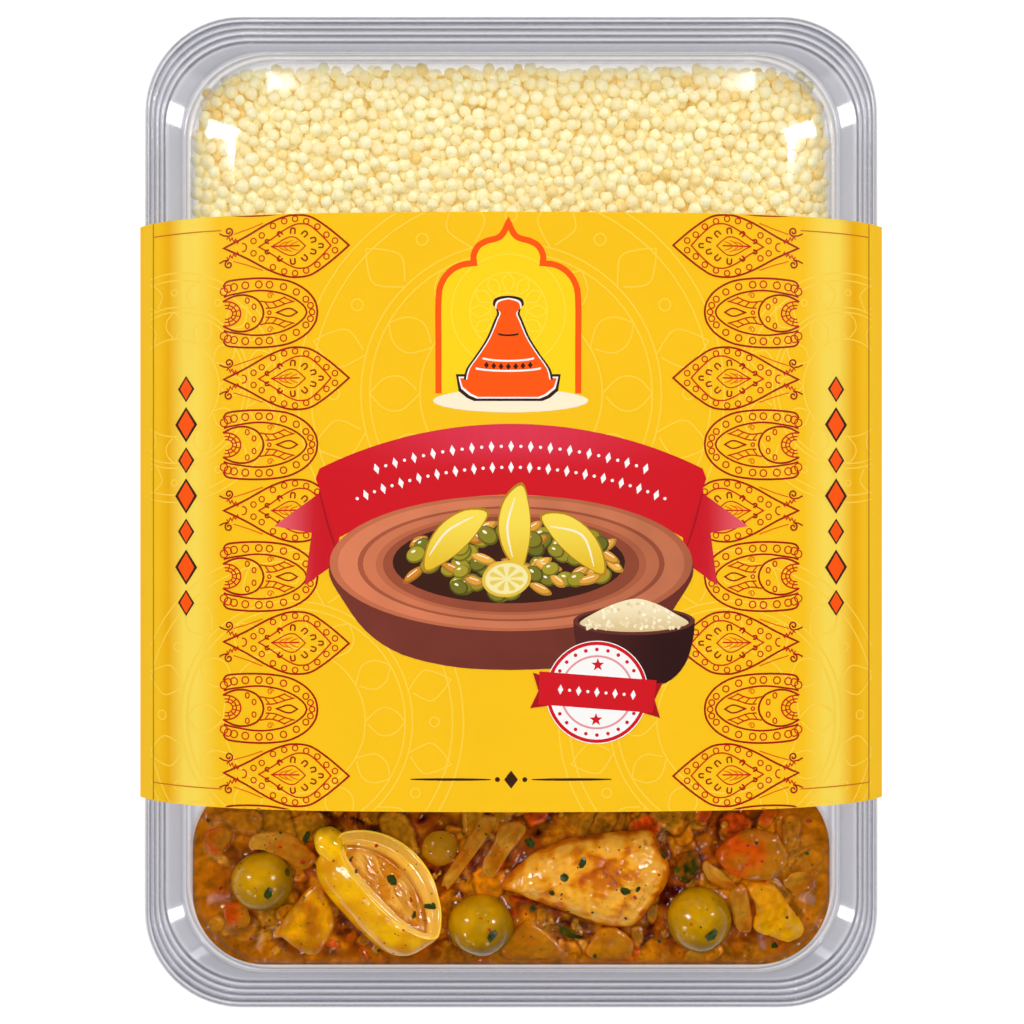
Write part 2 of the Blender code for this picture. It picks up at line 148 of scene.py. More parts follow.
def build_studio():
    scene = bpy.context.scene
    scene.view_settings.view_transform = "Standard"
    scene.cycles.transparent_max_bounces = 24
    scene.cycles.max_bounces = 6
    scene.cycles.diffuse_bounces = 3
    scene.cycles.glossy_bounces = 3
    overhead = bpy.data.cameras.new("overhead")
    overhead.lens = 51.4
    camera = bpy.data.objects.new("overhead", overhead)
    camera.location = (0.0002, 0.0, sleeve_high.z + CAMERA_HEIGHT)
    scene.collection.objects.link(camera)
    scene.camera = camera

    for name, azimuth, elevation, width, height, power in LIGHTS:
        turn, climb = radians(azimuth), radians(elevation)
        direction = (cos(turn) * cos(climb), sin(turn) * cos(climb), sin(climb))
        softbox(name, direction, width, height, power)
    # Even light from above that leaves no bright patch on the plastic.
    softbox("fill", (0.0, 0.05, 1.0), 1.2, 1.2, 18.0).visible_glossy = False

    # The room is palest low down, so that level plastic mirrors little of it. Seen
    # straight on, it is as white as the table.
    scene.world = bpy.data.worlds.new("pale_room")
    scene.world.use_nodes = True
    tree = scene.world.node_tree
    direction = add_node(tree, "ShaderNodeTexCoord").outputs["Generated"]
    split = add_node(tree, "ShaderNodeSeparateXYZ", {0: direction})
    seen = add_node(tree, "ShaderNodeLightPath").outputs["Is Camera Ray"]
    backdrop = add_node(tree, "ShaderNodeMix", {"A": colour_ramp(tree, split.outputs["Z"], ROOM),
                                                "B": (1.0, 1.0, 1.0, 1.0), "Factor": seen}, data_type="RGBA")
    set_inputs(tree.nodes["Background"], {"Color": backdrop.outputs["Result"], "Strength": 1.0})

    bm = bmesh.new()
    bmesh.ops.create_grid(bm, x_segments=1, y_segments=1, size=2.0)
    table = bpy.data.meshes.new("table")
    bm.to_mesh(table)
    bm.free()
    table.materials.append(shaded("white_table", {
        "Base Color": TABLE_WHITE, "Roughness": 0.9, "Emission Color": (1.0, 1.0, 1.0, 1.0),
        "Emission Strength": 0.70})[0])
    floor = bpy.data.objects.new("table", table)
    scene.collection.objects.link(floor)


build_studio()


# ---- Tray --------------------------------------------------------------------
# Thermoformed from one clear sheet: a flat flange with a turned-down edge, and
# two tapered wells with rounded floors that hang from it either side of a bridge.
TRAY_WALL = 0.0008
RIM_RADIUS = 0.0220
WELL_HALF_WIDTH = 0.0752
WELL_RADIUS = 0.0175
WELL_TAPER = tan(radians(8))
FLOOR_FILLET = 0.0060
COUSCOUS_WELL = (-0.0550, 0.1064)
STEW_WELL = (-0.1066, -0.0614)
CORNER_STEPS = 14
SKIRT = 0.0040              # depth of the turned-down edge
LIP = 0.0006                # radius of the bend at each well's mouth
PLASTIC_MIRROR = 0.024      # share of light that the plastic mirrors head on
JUICE_DULLS = 0.92          # share of that which a film of juice takes away


def rounded_outline(bm, half, centre_y, radius, z):
    """Edges of a rounded rectangle: a grid face with its corners bevelled."""
    made = bmesh.ops.create_grid(bm, x_segments=1, y_segments=1, size=1.0)
    verts = made["verts"]
    bmesh.ops.scale(bm, verts=verts, vec=(half[0], half[1], 1.0))
    bmesh.ops.translate(bm, verts=verts, vec=(0, centre_y, z))
    face = verts[0].link_faces[0]
    bmesh.ops.bevel(bm, geom=verts, offset=radius, offset_type="OFFSET", affect="VERTICES",
                    segments=CORNER_STEPS, profile=0.5, material=-1)
    face = max((f for f in bm.faces if abs(f.calc_center_median().z - z) < 1e-6
                and abs(f.calc_center_median().y - centre_y) < 1e-4), key=lambda f: f.calc_area())
    edges = list(face.edges)
    bmesh.ops.delete(bm, geom=[face], context="FACES_ONLY")
    return edges


def ring_chain(bm, edges, centre_y, steps):
    """Extrude a ring of edges through a list of (half x, half y, z) that starts at its own."""
    for now, then in zip(steps, steps[1:]):
        made = bmesh.ops.extrude_edge_only(bm, edges=edges)["geom"]
        edges = [item for item in made if isinstance(item, bmesh.types.BMEdge)]
        for vert in made:
            if isinstance(vert, bmesh.types.BMVert):
                vert.co.x *= then[0] / now[0]
                vert.co.y = centre_y + (vert.co.y - centre_y) * then[1] / now[1]
                vert.co.z = then[2]
    return edges


def floor_steps(foot_z, top_z, step):
    """(inset, z) down a tapered wall and round the fillet at its foot, from the top's inset."""
    for turn in range(0, 91, step):
        z = foot_z + FLOOR_FILLET * (1 - sin(radians(turn)))
        yield (top_z - z) * WELL_TAPER + FLOOR_FILLET * (1 - cos(radians(turn))), z


def bridge_rings(bm, before, after):
    """Faces between two rings of vertices with equal counts."""
    for a, b, c, d in zip(before, before[1:] + before[:1], after[1:] + after[:1], after):
        bm.faces.new((a, b, c, d))


def close_rings(bm, rings):
    """Skin a list of rings from the foot to the top and cap both ends."""
    for before, after in zip(rings, rings[1:]):
        bridge_rings(bm, before, after)
    bm.faces.new(rings[0][::-1])
    bm.faces.new(rings[-1])
    bmesh.ops.recalc_face_normals(bm, faces=bm.faces)


def new_piece(name, mesh, material):
    """Show a mesh as a piece of the pack that rides on its one body."""
    mesh.materials.append(material)
    piece = bpy.data.objects.new(name, mesh)
    bpy.context.scene.collection.objects.link(piece)
    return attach(piece, "root")


def mesh_piece(name, bm, material, smooth_angle=35):
    """Finish a bmesh as a shown piece, with edges kept sharp past an angle."""
    mesh = bpy.data.meshes.new(name)
    bm.to_mesh(mesh)
    bm.free()
    mesh.shade_smooth()
    if smooth_angle:
        mesh.set_sharp_from_angle(angle=radians(smooth_angle))
    return new_piece(name, mesh, material)


def add_wall(piece, thickness, offset=-1.0):
    """Give a single skin its wall, inwards from its faces."""
    solidify = piece.modifiers.new("wall", "SOLIDIFY")
    solidify.thickness = thickness
    solidify.offset = offset
    solidify.use_even_offset = True
    return solidify


def clear_plastic(name, clear, grey):
    """Clear plastic: it passes light straight through, tinted a cool grey, a painted shade, where the
    rim attribute is 1, and mirrors the room more and more towards grazing angles.
    Where the wet attribute is 1, a film of juice under it takes most of that away."""
    material, tree, shader = shaded(name, {"Base Color": (0.95, 0.95, 1.0, 1.0), "Metallic": 1.0,
                                           "Roughness": 0.08})
    rim = add_node(tree, "ShaderNodeAttribute", attribute_name="rim")
    tint = add_node(tree, "ShaderNodeMix", {"A": (*clear, 1.0), "B": (*grey, 1.0),
                                            "Factor": rim.outputs["Fac"]}, data_type="RGBA")
    through = add_node(tree, "ShaderNodeBsdfTransparent", {"Color": tint.outputs["Result"]})
    facing = add_node(tree, "ShaderNodeLayerWeight", {"Blend": 0.5})

    def maths(operation, *inputs, clamp=False):
        node = add_node(tree, "ShaderNodeMath", enumerate(inputs), operation=operation, use_clamp=clamp)
        return node.outputs[0]

    steep = maths("POWER", facing.outputs["Facing"], 4.0)
    share = maths("MULTIPLY_ADD", steep, 1.0 - PLASTIC_MIRROR, PLASTIC_MIRROR, clamp=True)
    wet = add_node(tree, "ShaderNodeAttribute", attribute_name="wet")
    dulled = maths("MULTIPLY_ADD", wet.outputs["Fac"], -JUICE_DULLS, 1.0)
    blend = add_node(tree, "ShaderNodeMixShader", {"Fac": maths("MULTIPLY", share, dulled),
                                                   1: through.outputs[0], 2: shader.outputs[0]})
    set_inputs(tree.nodes["Material Output"], {"Surface": blend.outputs[0]})
    return material


def set_painted_rim_shade(piece, value_at):
    """Store how much of the grey rim tint, a painted shade, each vertex has."""
    layer = piece.data.attributes.new("rim", "FLOAT", "POINT")
    for vert, item in zip(piece.data.vertices, layer.data):
        item.value = value_at(vert.co)


def build_tray():
    half = (tray_high.x - 0.0005, tray_high.y - 0.0005)
    flange_z = RIM_Z - TRAY_WALL / 2
    bm = bmesh.new()
    outer = rounded_outline(bm, half, 0.0, RIM_RADIUS, flange_z)
    mouths = []
    for low_y, high_y in (COUSCOUS_WELL, STEW_WELL):
        centre_y = (low_y + high_y) / 2
        mouth = (WELL_HALF_WIDTH + TRAY_WALL / 2, (high_y - low_y) / 2 + TRAY_WALL / 2)
        mouths.append((rounded_outline(bm, mouth, centre_y, WELL_RADIUS, flange_z), mouth, centre_y))
    loops = outer + [edge for mouth in mouths for edge in mouth[0]]
    bmesh.ops.triangle_fill(bm, use_beauty=True, use_dissolve=False, edges=loops)
    floor_z = tray_low.z + TRAY_WALL / 2
    for edges, mouth, centre_y in mouths:
        steps = [(*mouth, flange_z)]
        for turn in (30, 60, 90):
            inset = LIP * sin(radians(turn))
            drop = LIP * (1 - cos(radians(turn)))
            steps.append((mouth[0] - inset, mouth[1] - inset, flange_z - drop))
        for inset, z in floor_steps(floor_z, flange_z, 15):
            steps.append((mouth[0] - inset, mouth[1] - inset, z))
        edges = ring_chain(bm, edges, centre_y, steps)
        bmesh.ops.edgeloop_fill(bm, edges=edges)
    edge = TRAY_WALL / 2
    skirt = ((0.0, flange_z), (edge * 0.3, flange_z - edge), (edge, RIM_Z - SKIRT))
    ring_chain(bm, outer, 0.0, [(half[0] - inset, half[1] - inset, z) for inset, z in skirt])
    bmesh.ops.recalc_face_normals(bm, faces=bm.faces)
    # The grey is painted shade: full on the flange, a quarter of it down the wells.
    plastic = clear_plastic("clear_tray_plastic", (0.97, 0.97, 0.975), (0.90, 0.90, 0.93))
    tray = mesh_piece("clear_tray", bm, plastic)
    set_painted_rim_shade(tray, lambda co: 1.0 if co.z > flange_z - 0.0005 else 0.25)
    add_wall(tray, TRAY_WALL * 0.9, 0.0)
    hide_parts("tray")


build_tray()


# ---- Lid ---------------------------------------------------------------------
# A thinner clear sheet, drawn into a low dome. Four ribs climb its rim, then a
# flat land and a small bead run all round before the dome rises.
LID_WALL = 0.0005
RIB_COUNT = 4
RIB_ZONE = (0.0052, 0.0070)      # width of the ribbed band at the sides and ends
RIB_FOOT = 0.0008
RIB_HEAD = 0.0044
RIB_SWELL = 0.0005
RIB_PAINTED_SHADES = (0.74, 0.20, 0.34, 0.00, 0.06, 0.00, 0.24, 0.44)      # painted shade: grey from one valley of the ribs to the next
LAND_INSET = 0.0096
LAND_HEIGHT = 0.0060
BEAD = ((0.0099, 0.0067), (0.0103, 0.0072), (0.0108, 0.0072), (0.0113, 0.0069))
# painted shade: grey of each ring of the bead
BEAD_PAINTED_SHADES = (0.10, 0.02, 0.42, 0.04)
BEAD_RADIUS = 0.0190
DOME = ((0.0120, 0.0076), (0.0128, 0.0088), (0.0148, 0.0100), (0.0175, 0.0110), (0.0215, 0.0123),
        (0.0260, 0.0134), (0.0380, 0.0151), (0.0560, 0.0164), (0.0700, 0.0168))
DOME_STEPS = 34
DOME_FOOT_PAINTED_SHADE = (0.40, 0.0014)  # painted shade: grey at the foot of the dome, and how soon it fades
# painted shade: grey across the land, by share of its width
LAND_PAINTED_SHADES = ((0.08, 0.16), (0.30, 0.30), (0.70, 0.32), (0.92, 0.36), (1.0, 0.50))
STEW_FROM = 0.0600          # the stew lies past this, and wets the dome from below
DOME_CORNER = 0.0045        # tightest corner, near the top of the dome


def dome_height(inset):
    """Height of the dome over the flange, smooth between its named places."""
    places, levels = zip(*DOME)
    slopes = np.gradient(levels, places)
    index = min(max(int(np.searchsorted(places, inset)) - 1, 0), len(places) - 2)
    span = places[index + 1] - places[index]
    t = (inset - places[index]) / span
    start = (2 * t ** 3 - 3 * t ** 2 + 1) * levels[index] + (t ** 3 - 2 * t ** 2 + t) * span * slopes[index]
    return float(start + (3 * t ** 2 - 2 * t ** 3) * levels[index + 1]
                 + (t ** 3 - t ** 2) * span * slopes[index + 1])


def lid_rings():
    """(side inset, end inset, height above the flange, corner radius, grey rim tint as painted shade) of
    every ring.
    """
    rings = []
    steps = RIB_COUNT * len(RIB_PAINTED_SHADES)
    for step in range(steps + 1):
        share = step / steps
        swell = RIB_SWELL * sin(pi * (share * RIB_COUNT % 1.0))
        tint = RIB_PAINTED_SHADES[step % len(RIB_PAINTED_SHADES)]
        side = RIB_ZONE[0] * share
        rings.append((side, RIB_ZONE[1] * share, RIB_FOOT + (RIB_HEAD - RIB_FOOT) * share + swell,
                      RIM_RADIUS - side / 2, tint))
    for share, tint in LAND_PAINTED_SHADES:
        side = RIB_ZONE[0] + (LAND_INSET - RIB_ZONE[0]) * share
        end = RIB_ZONE[1] + (LAND_INSET - RIB_ZONE[1]) * share
        rings.append((side, end, RIB_HEAD + (LAND_HEIGHT - RIB_HEAD) * share,
                      RIM_RADIUS - RIB_ZONE[0] / 2 - 0.0006 * share, tint))
    for (inset, height), tint in zip(BEAD, BEAD_PAINTED_SHADES):
        rings.append((inset, inset, height, BEAD_RADIUS, tint))
    first, last = DOME[0][0], DOME[-1][0]
    for step in range(DOME_STEPS + 1):
        inset = first + (last - first) * (step / DOME_STEPS) ** 2
        radius = max(BEAD_RADIUS - (inset - first), DOME_CORNER)
        rings.append((inset, inset, dome_height(inset), radius,
                      DOME_FOOT_PAINTED_SHADE[0] * exp(-(inset - first) / DOME_FOOT_PAINTED_SHADE[1])))
    return rings


def build_lid():
    lid_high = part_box("lid")[1]
    spread = LID_WALL * 0.9
    bm = bmesh.new()
    painted_shade_layer = bm.verts.layers.float.new("rim")
    wet_layer = bm.verts.layers.float.new("wet")
    loops = []
    for side, end, height, radius, tint in lid_rings():
        loop = []
        half = Vector((lid_high.x - spread - side, lid_high.y - spread - end))
        for quarter, (sign_x, sign_y) in enumerate(((1, 1), (-1, 1), (-1, -1), (1, -1))):
            for step in range(CORNER_STEPS + 1):
                angle = pi / 2 * (quarter + step / CORNER_STEPS)
                x = sign_x * (half.x - radius) + radius * cos(angle)
                y = sign_y * (half.y - radius) + radius * sin(angle)
                vert = bm.verts.new((x, y, RIM_Z + height))
                # Painted shade: the grey is a quarter stronger along the ends.
                vert[painted_shade_layer] = tint * (1.25 if abs(y) > half.y - radius * 0.3 else 1.0)
                vert[wet_layer] = float(side > LAND_INSET and y < -STEW_FROM)
                loop.append(vert)
        if loops:
            bridge_rings(bm, loops[-1], loop)
        loops.append(loop)
    bm.faces.new(loops[-1])
    bmesh.ops.recalc_face_normals(bm, faces=bm.faces)
    # The lid's rim is painted a dark grey as shade.
    plastic = clear_plastic("clear_lid_plastic", (0.998, 0.998, 0.998), (0.35, 0.35, 0.37))
    lid = mesh_piece("clear_lid", bm, plastic, 0)
    add_wall(lid, LID_WALL)
    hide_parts("lid")


build_lid()


# ---- Sleeve ------------------------------------------------------------------
# One strip of coated card, printed yellow, folded at four creases into a tube that
# bows over the lid. The cut edges show the white core of the card.
CARD = 0.00045
CREASE_X = 0.0826
BOTTOM_HALF = 0.0725
CROWN_STEPS = 84
INK_ROOM = 0.0002         # the crown stays this far under its box, for the inks
BOW = (0.0050, 0.0090)    # fall from crown to crease, in two powers of the share
YELLOW = (0.960, 0.545, 0.012)
FOLD_PAINTED_HIGHLIGHT = (0.970, 0.700, 0.090)
# The card's colour from its middle to its outer edge, as shares of its half width: a
# # painted highlight along the tops of the folds, and painted shade beyond them.
CARD_PAINTED_LIGHT_BANDS = ((0.0, YELLOW), (0.76, YELLOW), (0.82, FOLD_PAINTED_HIGHLIGHT), (0.86, FOLD_PAINTED_HIGHLIGHT),
              (0.905, (0.890, 0.430, 0.004)), (0.935, YELLOW), (0.962, (0.94, 0.57, 0.010)),
              (1.0, (1.00, 0.52, 0.001)))


def bow(x):
    """Height of the bowed top panel above the table, as a smooth curve."""
    share = abs(x) / CREASE_X
    return sleeve_high.z - INK_ROOM - BOW[0] * share ** 2 - BOW[1] * share ** 6


CROWN_FACETS = [CREASE_X * (2 * step / CROWN_STEPS - 1) for step in range(CROWN_STEPS + 1)]
CROWN_LEVELS = [bow(x) for x in CROWN_FACETS]


def crown_height(x):
    """Height of the top panel's flat strips, which the inks follow too."""
    return float(np.interp(x, CROWN_FACETS, CROWN_LEVELS))


def sleeve_outline():
    """Points of the sleeve's outer face in the XZ plane, from the left crease over
    the crown and round underneath."""
    side = [(sleeve_high.x, RIM_Z + 0.0009), (sleeve_high.x, RIM_Z - 0.0043), (BOTTOM_HALF, 0.0)]
    return list(zip(CROWN_FACETS, CROWN_LEVELS)) + side + [(-x, z) for x, z in reversed(side)]


def card_material():
    """Yellow ink on card, with a painted highlight along the tops of the folds and painted shade beyond them.
    """
    material, tree, shader = shaded("yellow_printed_card", {"Roughness": 0.42, "Specular IOR Level": 0.06})
    place = add_node(tree, "ShaderNodeTexCoord").outputs["Object"]
    split = add_node(tree, "ShaderNodeSeparateXYZ", {0: place})
    across = add_node(tree, "ShaderNodeMath", {0: split.outputs["X"]}, operation="ABSOLUTE")
    span = add_node(tree, "ShaderNodeMapRange", {"From Max": sleeve_high.x, "Value": across.outputs[0]})
    mottle = add_node(tree, "ShaderNodeTexNoise", {"Scale": 60.0, "Detail": 4.0, "Vector": place})
    soft = add_node(tree, "ShaderNodeMapRange", {"To Min": 0.96, "To Max": 1.03,
                                                 "Value": mottle.outputs["Fac"]})
    painted_light_bands = colour_ramp(tree, span.outputs["Result"], CARD_PAINTED_LIGHT_BANDS)
    set_inputs(shader, {"Base Color": tinted(tree, painted_light_bands, soft.outputs["Result"]),
                        "Normal": fine_bump(tree, place, 900.0, 0.05, 0.0002)})
    return material


def build_sleeve():
    bm = bmesh.new()
    half_length = sleeve_high.y
    front = [bm.verts.new((x, -half_length, z)) for x, z in sleeve_outline()]
    edges = [bm.edges.new((a, b)) for a, b in zip(front, front[1:] + front[:1])]
    made = bmesh.ops.extrude_edge_only(bm, edges=edges)["geom"]
    back = [item for item in made if isinstance(item, bmesh.types.BMVert)]
    bmesh.ops.translate(bm, verts=back, vec=(0, 2 * half_length, 0))
    bmesh.ops.recalc_face_normals(bm, faces=bm.faces)
    centre_face = min(bm.faces, key=lambda face: -face.calc_center_median().z)
    if centre_face.normal.z < 0:
        bmesh.ops.reverse_faces(bm, faces=bm.faces)
    sleeve = mesh_piece("printed_sleeve", bm, card_material(), 15)
    for edge in sleeve.data.edges:
        ends = [sleeve.data.vertices[number].co.y for number in edge.vertices]
        edge.use_edge_sharp = edge.use_edge_sharp or abs(ends[0] - ends[1]) < half_length
    core = shaded("white_card_core", {"Base Color": (0.85, 0.80, 0.68, 1.0), "Roughness": 0.85})[0]
    sleeve.data.materials.append(core)
    wall = add_wall(sleeve, CARD)
    wall.material_offset = 1
    wall.material_offset_rim = 1
    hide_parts("sleeve")


build_sleeve()


# ---- Print -------------------------------------------------------------------
# Inks on the card: a faint rosette pattern, henna borders down both sides, a niche
# with a tagine pot, a red banner, a terracotta dish and a round seal. Each shape is
# a film of ink that follows the card. The shapes are drawn flat, in millimetres.
INK_LIFT = 0.000025         # each film lies this far over the card or the film below
SHADE_STEP = 3.0            # shaded inks get a colour at least this often
PRINT_HALF = 82.3           # the inks stop here, just inside the folds
BORDER_PITCH = 29.15
BORDER_FIRST = 0.3
BORDER_OUTER = -63.9
LEAF_INNER = -35.6
LEAF_HALF = 6.85
LEAF_PROFILE = ((0, 0), (0.18, 0.34), (0.36, 0.74), (0.50, 0.96), (0.60, 1.0), (0.70, 0.93),
                (0.80, 0.68), (0.90, 0.36), (1.0, 0))
INKS = {
    "faint": (1.0, 0.64, 0.055),
    "henna": (0.36, 0.003, 0.001),
    "henna_light": (0.60, 0.014, 0.002),
    "orange": (0.80, 0.10, 0.003),
    "frame": (0.62, 0.17, 0.004),
    "niche": (1.0, 0.093, 0.001),
    "niche_field": (1.0, 0.655, 0.006),
    "niche_faint": (1.0, 0.72, 0.045),
    "cream": (0.97, 0.86, 0.62),
    "brown": (0.045, 0.012, 0.006),
    "white": (0.95, 0.93, 0.91),
    "red": (0.64, 0.005, 0.013),
    "deep_red": (0.40, 0.003, 0.008),
    "pink": (0.80, 0.30, 0.32),
    "picture": (1.0, 1.0, 1.0),
}


def spline(points, steps=6, closed=False):
    """A smooth line through points, as a Catmull-Rom spline."""
    spans = len(points) if closed else len(points) - 1
    line = []
    for index in range(spans):
        around = []
        for k in (-1, 0, 1, 2):
            at = (index + k) % len(points) if closed else min(max(index + k, 0), len(points) - 1)
            around.append(Vector(points[at]))
        a, b, c, d = around
        for step in range(steps):
            t = step / steps
            line.append(0.5 * (2 * b + (c - a) * t + (2 * a - 5 * b + 4 * c - d) * t ** 2
                               + (3 * b - a - 3 * c + d) * t ** 3))
    if not closed:
        line.append(Vector(points[-1]))
    return line


def polar(x, y, reach_x, reach_y, angle):
    """The point at an angle in degrees on an ellipse about a place."""
    return x + reach_x * cos(radians(angle)), y + reach_y * sin(radians(angle))


def arc(x, y, radius_x, radius_y, start, stop, count):
    """Points along part of an ellipse, from a start angle to a stop angle in degrees."""
    return [Vector(polar(x, y, radius_x, radius_y, start + (stop - start) * step / count))
            for step in range(count + 1)]


def oval(x, y, radius_x, radius_y, turn, count):
    return shifted(arc(0, 0, radius_x, radius_y, 0, 360, count)[:-1], x, y, 1.0, turn)


def with_mirror(points):
    """Points on the upper side and then the same points below, back to the start."""
    return list(points) + [Vector((p[0], -p[1])) for p in reversed(points) if abs(p[1]) > 1e-6]


def mirrored(left):
    """A closed outline from its left half, which ends on the middle line."""
    return left + [Vector((-p.x, p.y)) for p in left[-2::-1]]


def shifted(points, x, y, size=1.0, turn=0.0):
    """Points turned by an angle in degrees, sized and moved."""
    c, s = cos(radians(turn)) * size, sin(radians(turn)) * size
    return [Vector((x + c * p[0] - s * p[1], y + s * p[0] + c * p[1])) for p in points]


class Sheet:
    """Flat shapes of ink in millimetres. A later shape hides what it covers."""

    def __init__(self):
        self.corners = []
        self.faces = []
        self.inks = []

    def add_face(self, face, ink):
        """Add a face by its corners, turned so that it runs anticlockwise."""
        loop = [self.corners[index] for index in face]
        area = sum(a.x * b.y - b.x * a.y for a, b in zip(loop, loop[1:] + loop[:1]))
        if abs(area) > 1e-6:
            self.faces.append(face if area > 0 else face[::-1])
            self.inks.append(ink)

    def fill(self, points, ink):
        first = len(self.corners)
        self.corners += [Vector((point[0], point[1])) for point in points]
        self.add_face(list(range(first, len(self.corners))), ink)

    def stroke(self, points, width, ink, closed=False, taper=False):
        """A line of even width, or one that thins towards both ends."""
        line = [Vector(point) for point in points]
        count = len(line)
        first = len(self.corners)
        for index, point in enumerate(line):
            before = line[index - 1] if closed or index else point
            after = line[(index + 1) % count] if closed or index < count - 1 else point
            along = ((point - before).normalized() + (after - point).normalized()).normalized()
            ends = (point - before).normalized() if (point - before).length > 1e-9 else along
            reach = width / 2 / max(abs(ends.dot(along)), 0.5)
            if taper:
                reach *= 0.25 + 0.75 * sin(pi * (index + 0.5) / count)
            across = Vector((-along.y, along.x)) * reach
            self.corners += [point + across, point - across]
        for index in range(count if closed else count - 1):
            a, b = first + 2 * index, first + 2 * ((index + 1) % count)
            self.add_face([a, a + 1, b + 1], ink)
            self.add_face([a, b + 1, b], ink)

    def flattened(self):
        """Corners, faces and the ink of each face once nothing overlaps."""
        made = delaunay_2d_cdt(self.corners, [], self.faces, 1, 1e-5, True)
        inked = [(face, self.inks[max(source)]) for face, source in zip(made[2], made[5]) if source]
        return made[0], [face for face, ink in inked], [ink for face, ink in inked]

    def disc(self, x, y, radius_x, radius_y, ink, turn=0.0, count=28):
        self.fill(oval(x, y, radius_x, radius_y, turn, count), ink)

    def ring(self, x, y, radius_x, radius_y, width, ink, turn=0.0, count=16):
        self.stroke(oval(x, y, radius_x, radius_y, turn, count), width, ink, closed=True)

    def spiral(self, x, y, radius, turns, start, width, ink):
        line = []
        for step in range(int(turns * 14) + 1):
            reach = radius * (1 - 0.8 * step / (turns * 14))
            line.append(polar(x, y, reach, reach, start + step * 360 / 14))
        self.stroke(line, width, ink)


def plain(colour):
    """A shade that is one colour all over."""
    return lambda x, y: colour


def lozenge(half_width, half_height):
    return [(0, half_height), (half_width, 0), (0, -half_height), (-half_width, 0)]


def leaf_line(low_x, high_x, half, steps=5):
    side = [(low_x + (high_x - low_x) * along, half * up) for along, up in LEAF_PROFILE]
    upper = spline(side, steps)
    return upper + [Vector((p.x, -p.y)) for p in upper[-2:0:-1]]


def draw_leaf(sheet):
    """A pointed leaf with a row of rings, a ring of petals and a small leaf inside."""
    length = LEAF_INNER - BORDER_OUTER
    sheet.stroke(leaf_line(BORDER_OUTER, LEAF_INNER, LEAF_HALF), 0.42, "henna", closed=True)
    sheet.stroke(leaf_line(-55.8, -39.6, 4.9), 0.32, "henna_light", closed=True)
    for share in (0.244, 0.31, 0.40, 0.49, 0.576, 0.664, 0.752, 0.823, 0.890):
        inward = float(np.interp(share, (0.244, 0.40, 0.58, 0.75, 0.90), (0.41, 0.83, 0.886, 0.77, 0.37)))
        for sign in (-1, 1):
            height = sign * LEAF_HALF * float(np.interp(share, *zip(*LEAF_PROFILE))) * inward
            sheet.ring(BORDER_OUTER + length * share, height, 0.62, 0.62, 0.26, "henna_light", count=10)
    sheet.stroke(arc(-59.4, 0, 0.8, 0.9, -110, 110, 8), 0.30, "henna_light")
    for x, height, size in ((-53.8, 1.15, 0.75), (-51.0, 2.7, 0.85), (-48.1, 3.3, 1.0), (-45.5, 2.6, 1.0),
                            (-43.6, 1.3, 0.95), (-41.9, 0.0, 0.85)):
        for sign in ((-1, 1) if height else (1,)):
            lean = degrees(atan2(sign * height, x + 48.4)) - 90
            petal = [(-0.45, -0.6), (-0.5, 0.2), (-0.3, 0.62), (0.3, 0.62), (0.5, 0.2), (0.45, -0.6)]
            sheet.stroke(shifted(spline(petal, 2), x, sign * height, size, lean), 0.34, "henna")
    sheet.stroke(leaf_line(-52.9, -45.3, 2.05, 3), 0.26, "henna_light", closed=True)
    sheet.stroke([(-53.0, 0), (-46.6, 0.1)], 0.42, "henna_light", taper=True)
    for x, reach in ((-51.4, 1.0), (-50.2, 1.3), (-49.0, 1.0)):
        for sign in (-1, 1):
            twig = spline([(x, 0), (x + 0.9, sign * reach * 0.6), (x + 2.1, sign * reach)], 3)
            sheet.stroke(twig, 0.24, "orange", taper=True)
    for sign in (-1, 1):
        sheet.stroke([(-64.9, sign * 3.3), (-63.9, sign * 2.8), (-62.9, sign * 2.65)], 0.34, "henna")
        sheet.spiral(-62.7, sign * 3.65, 1.0, 1.35, -90 * sign, 0.36, "henna")
        sheet.stroke([(-61.6, sign * 3.0), (-58.2, sign * 4.0), (-54.9, sign * 5.2)], 0.24, "orange")
        hatch = [(-63.2 + 0.42 * k, sign * (2.3 - 0.16 * k + (0.42 if k % 2 else -0.35))) for k in range(8)]
        sheet.stroke(hatch, 0.26, "henna_light")


ARCH_OUTER = ((-64.0, 6.0), (-63.2, 7.05), (-61.0, 7.45), (-57.0, 7.65), (-52.7, 7.5), (-48.6, 6.75),
              (-45.1, 4.8), (-43.1, 2.3), (-42.6, 0.0))
ARCH_INNER = ((-63.9, 3.7), (-62.6, 4.1), (-60.2, 4.5), (-57.0, 4.9), (-54.0, 4.85), (-50.6, 4.2),
              (-47.6, 2.9), (-45.6, 1.3), (-45.0, 0.0))
ARCH_EYE = ((-64.1, 2.7), (-61.6, 3.8), (-58.9, 4.0), (-56.4, 3.1), (-55.1, 1.5), (-54.7, 0.0))


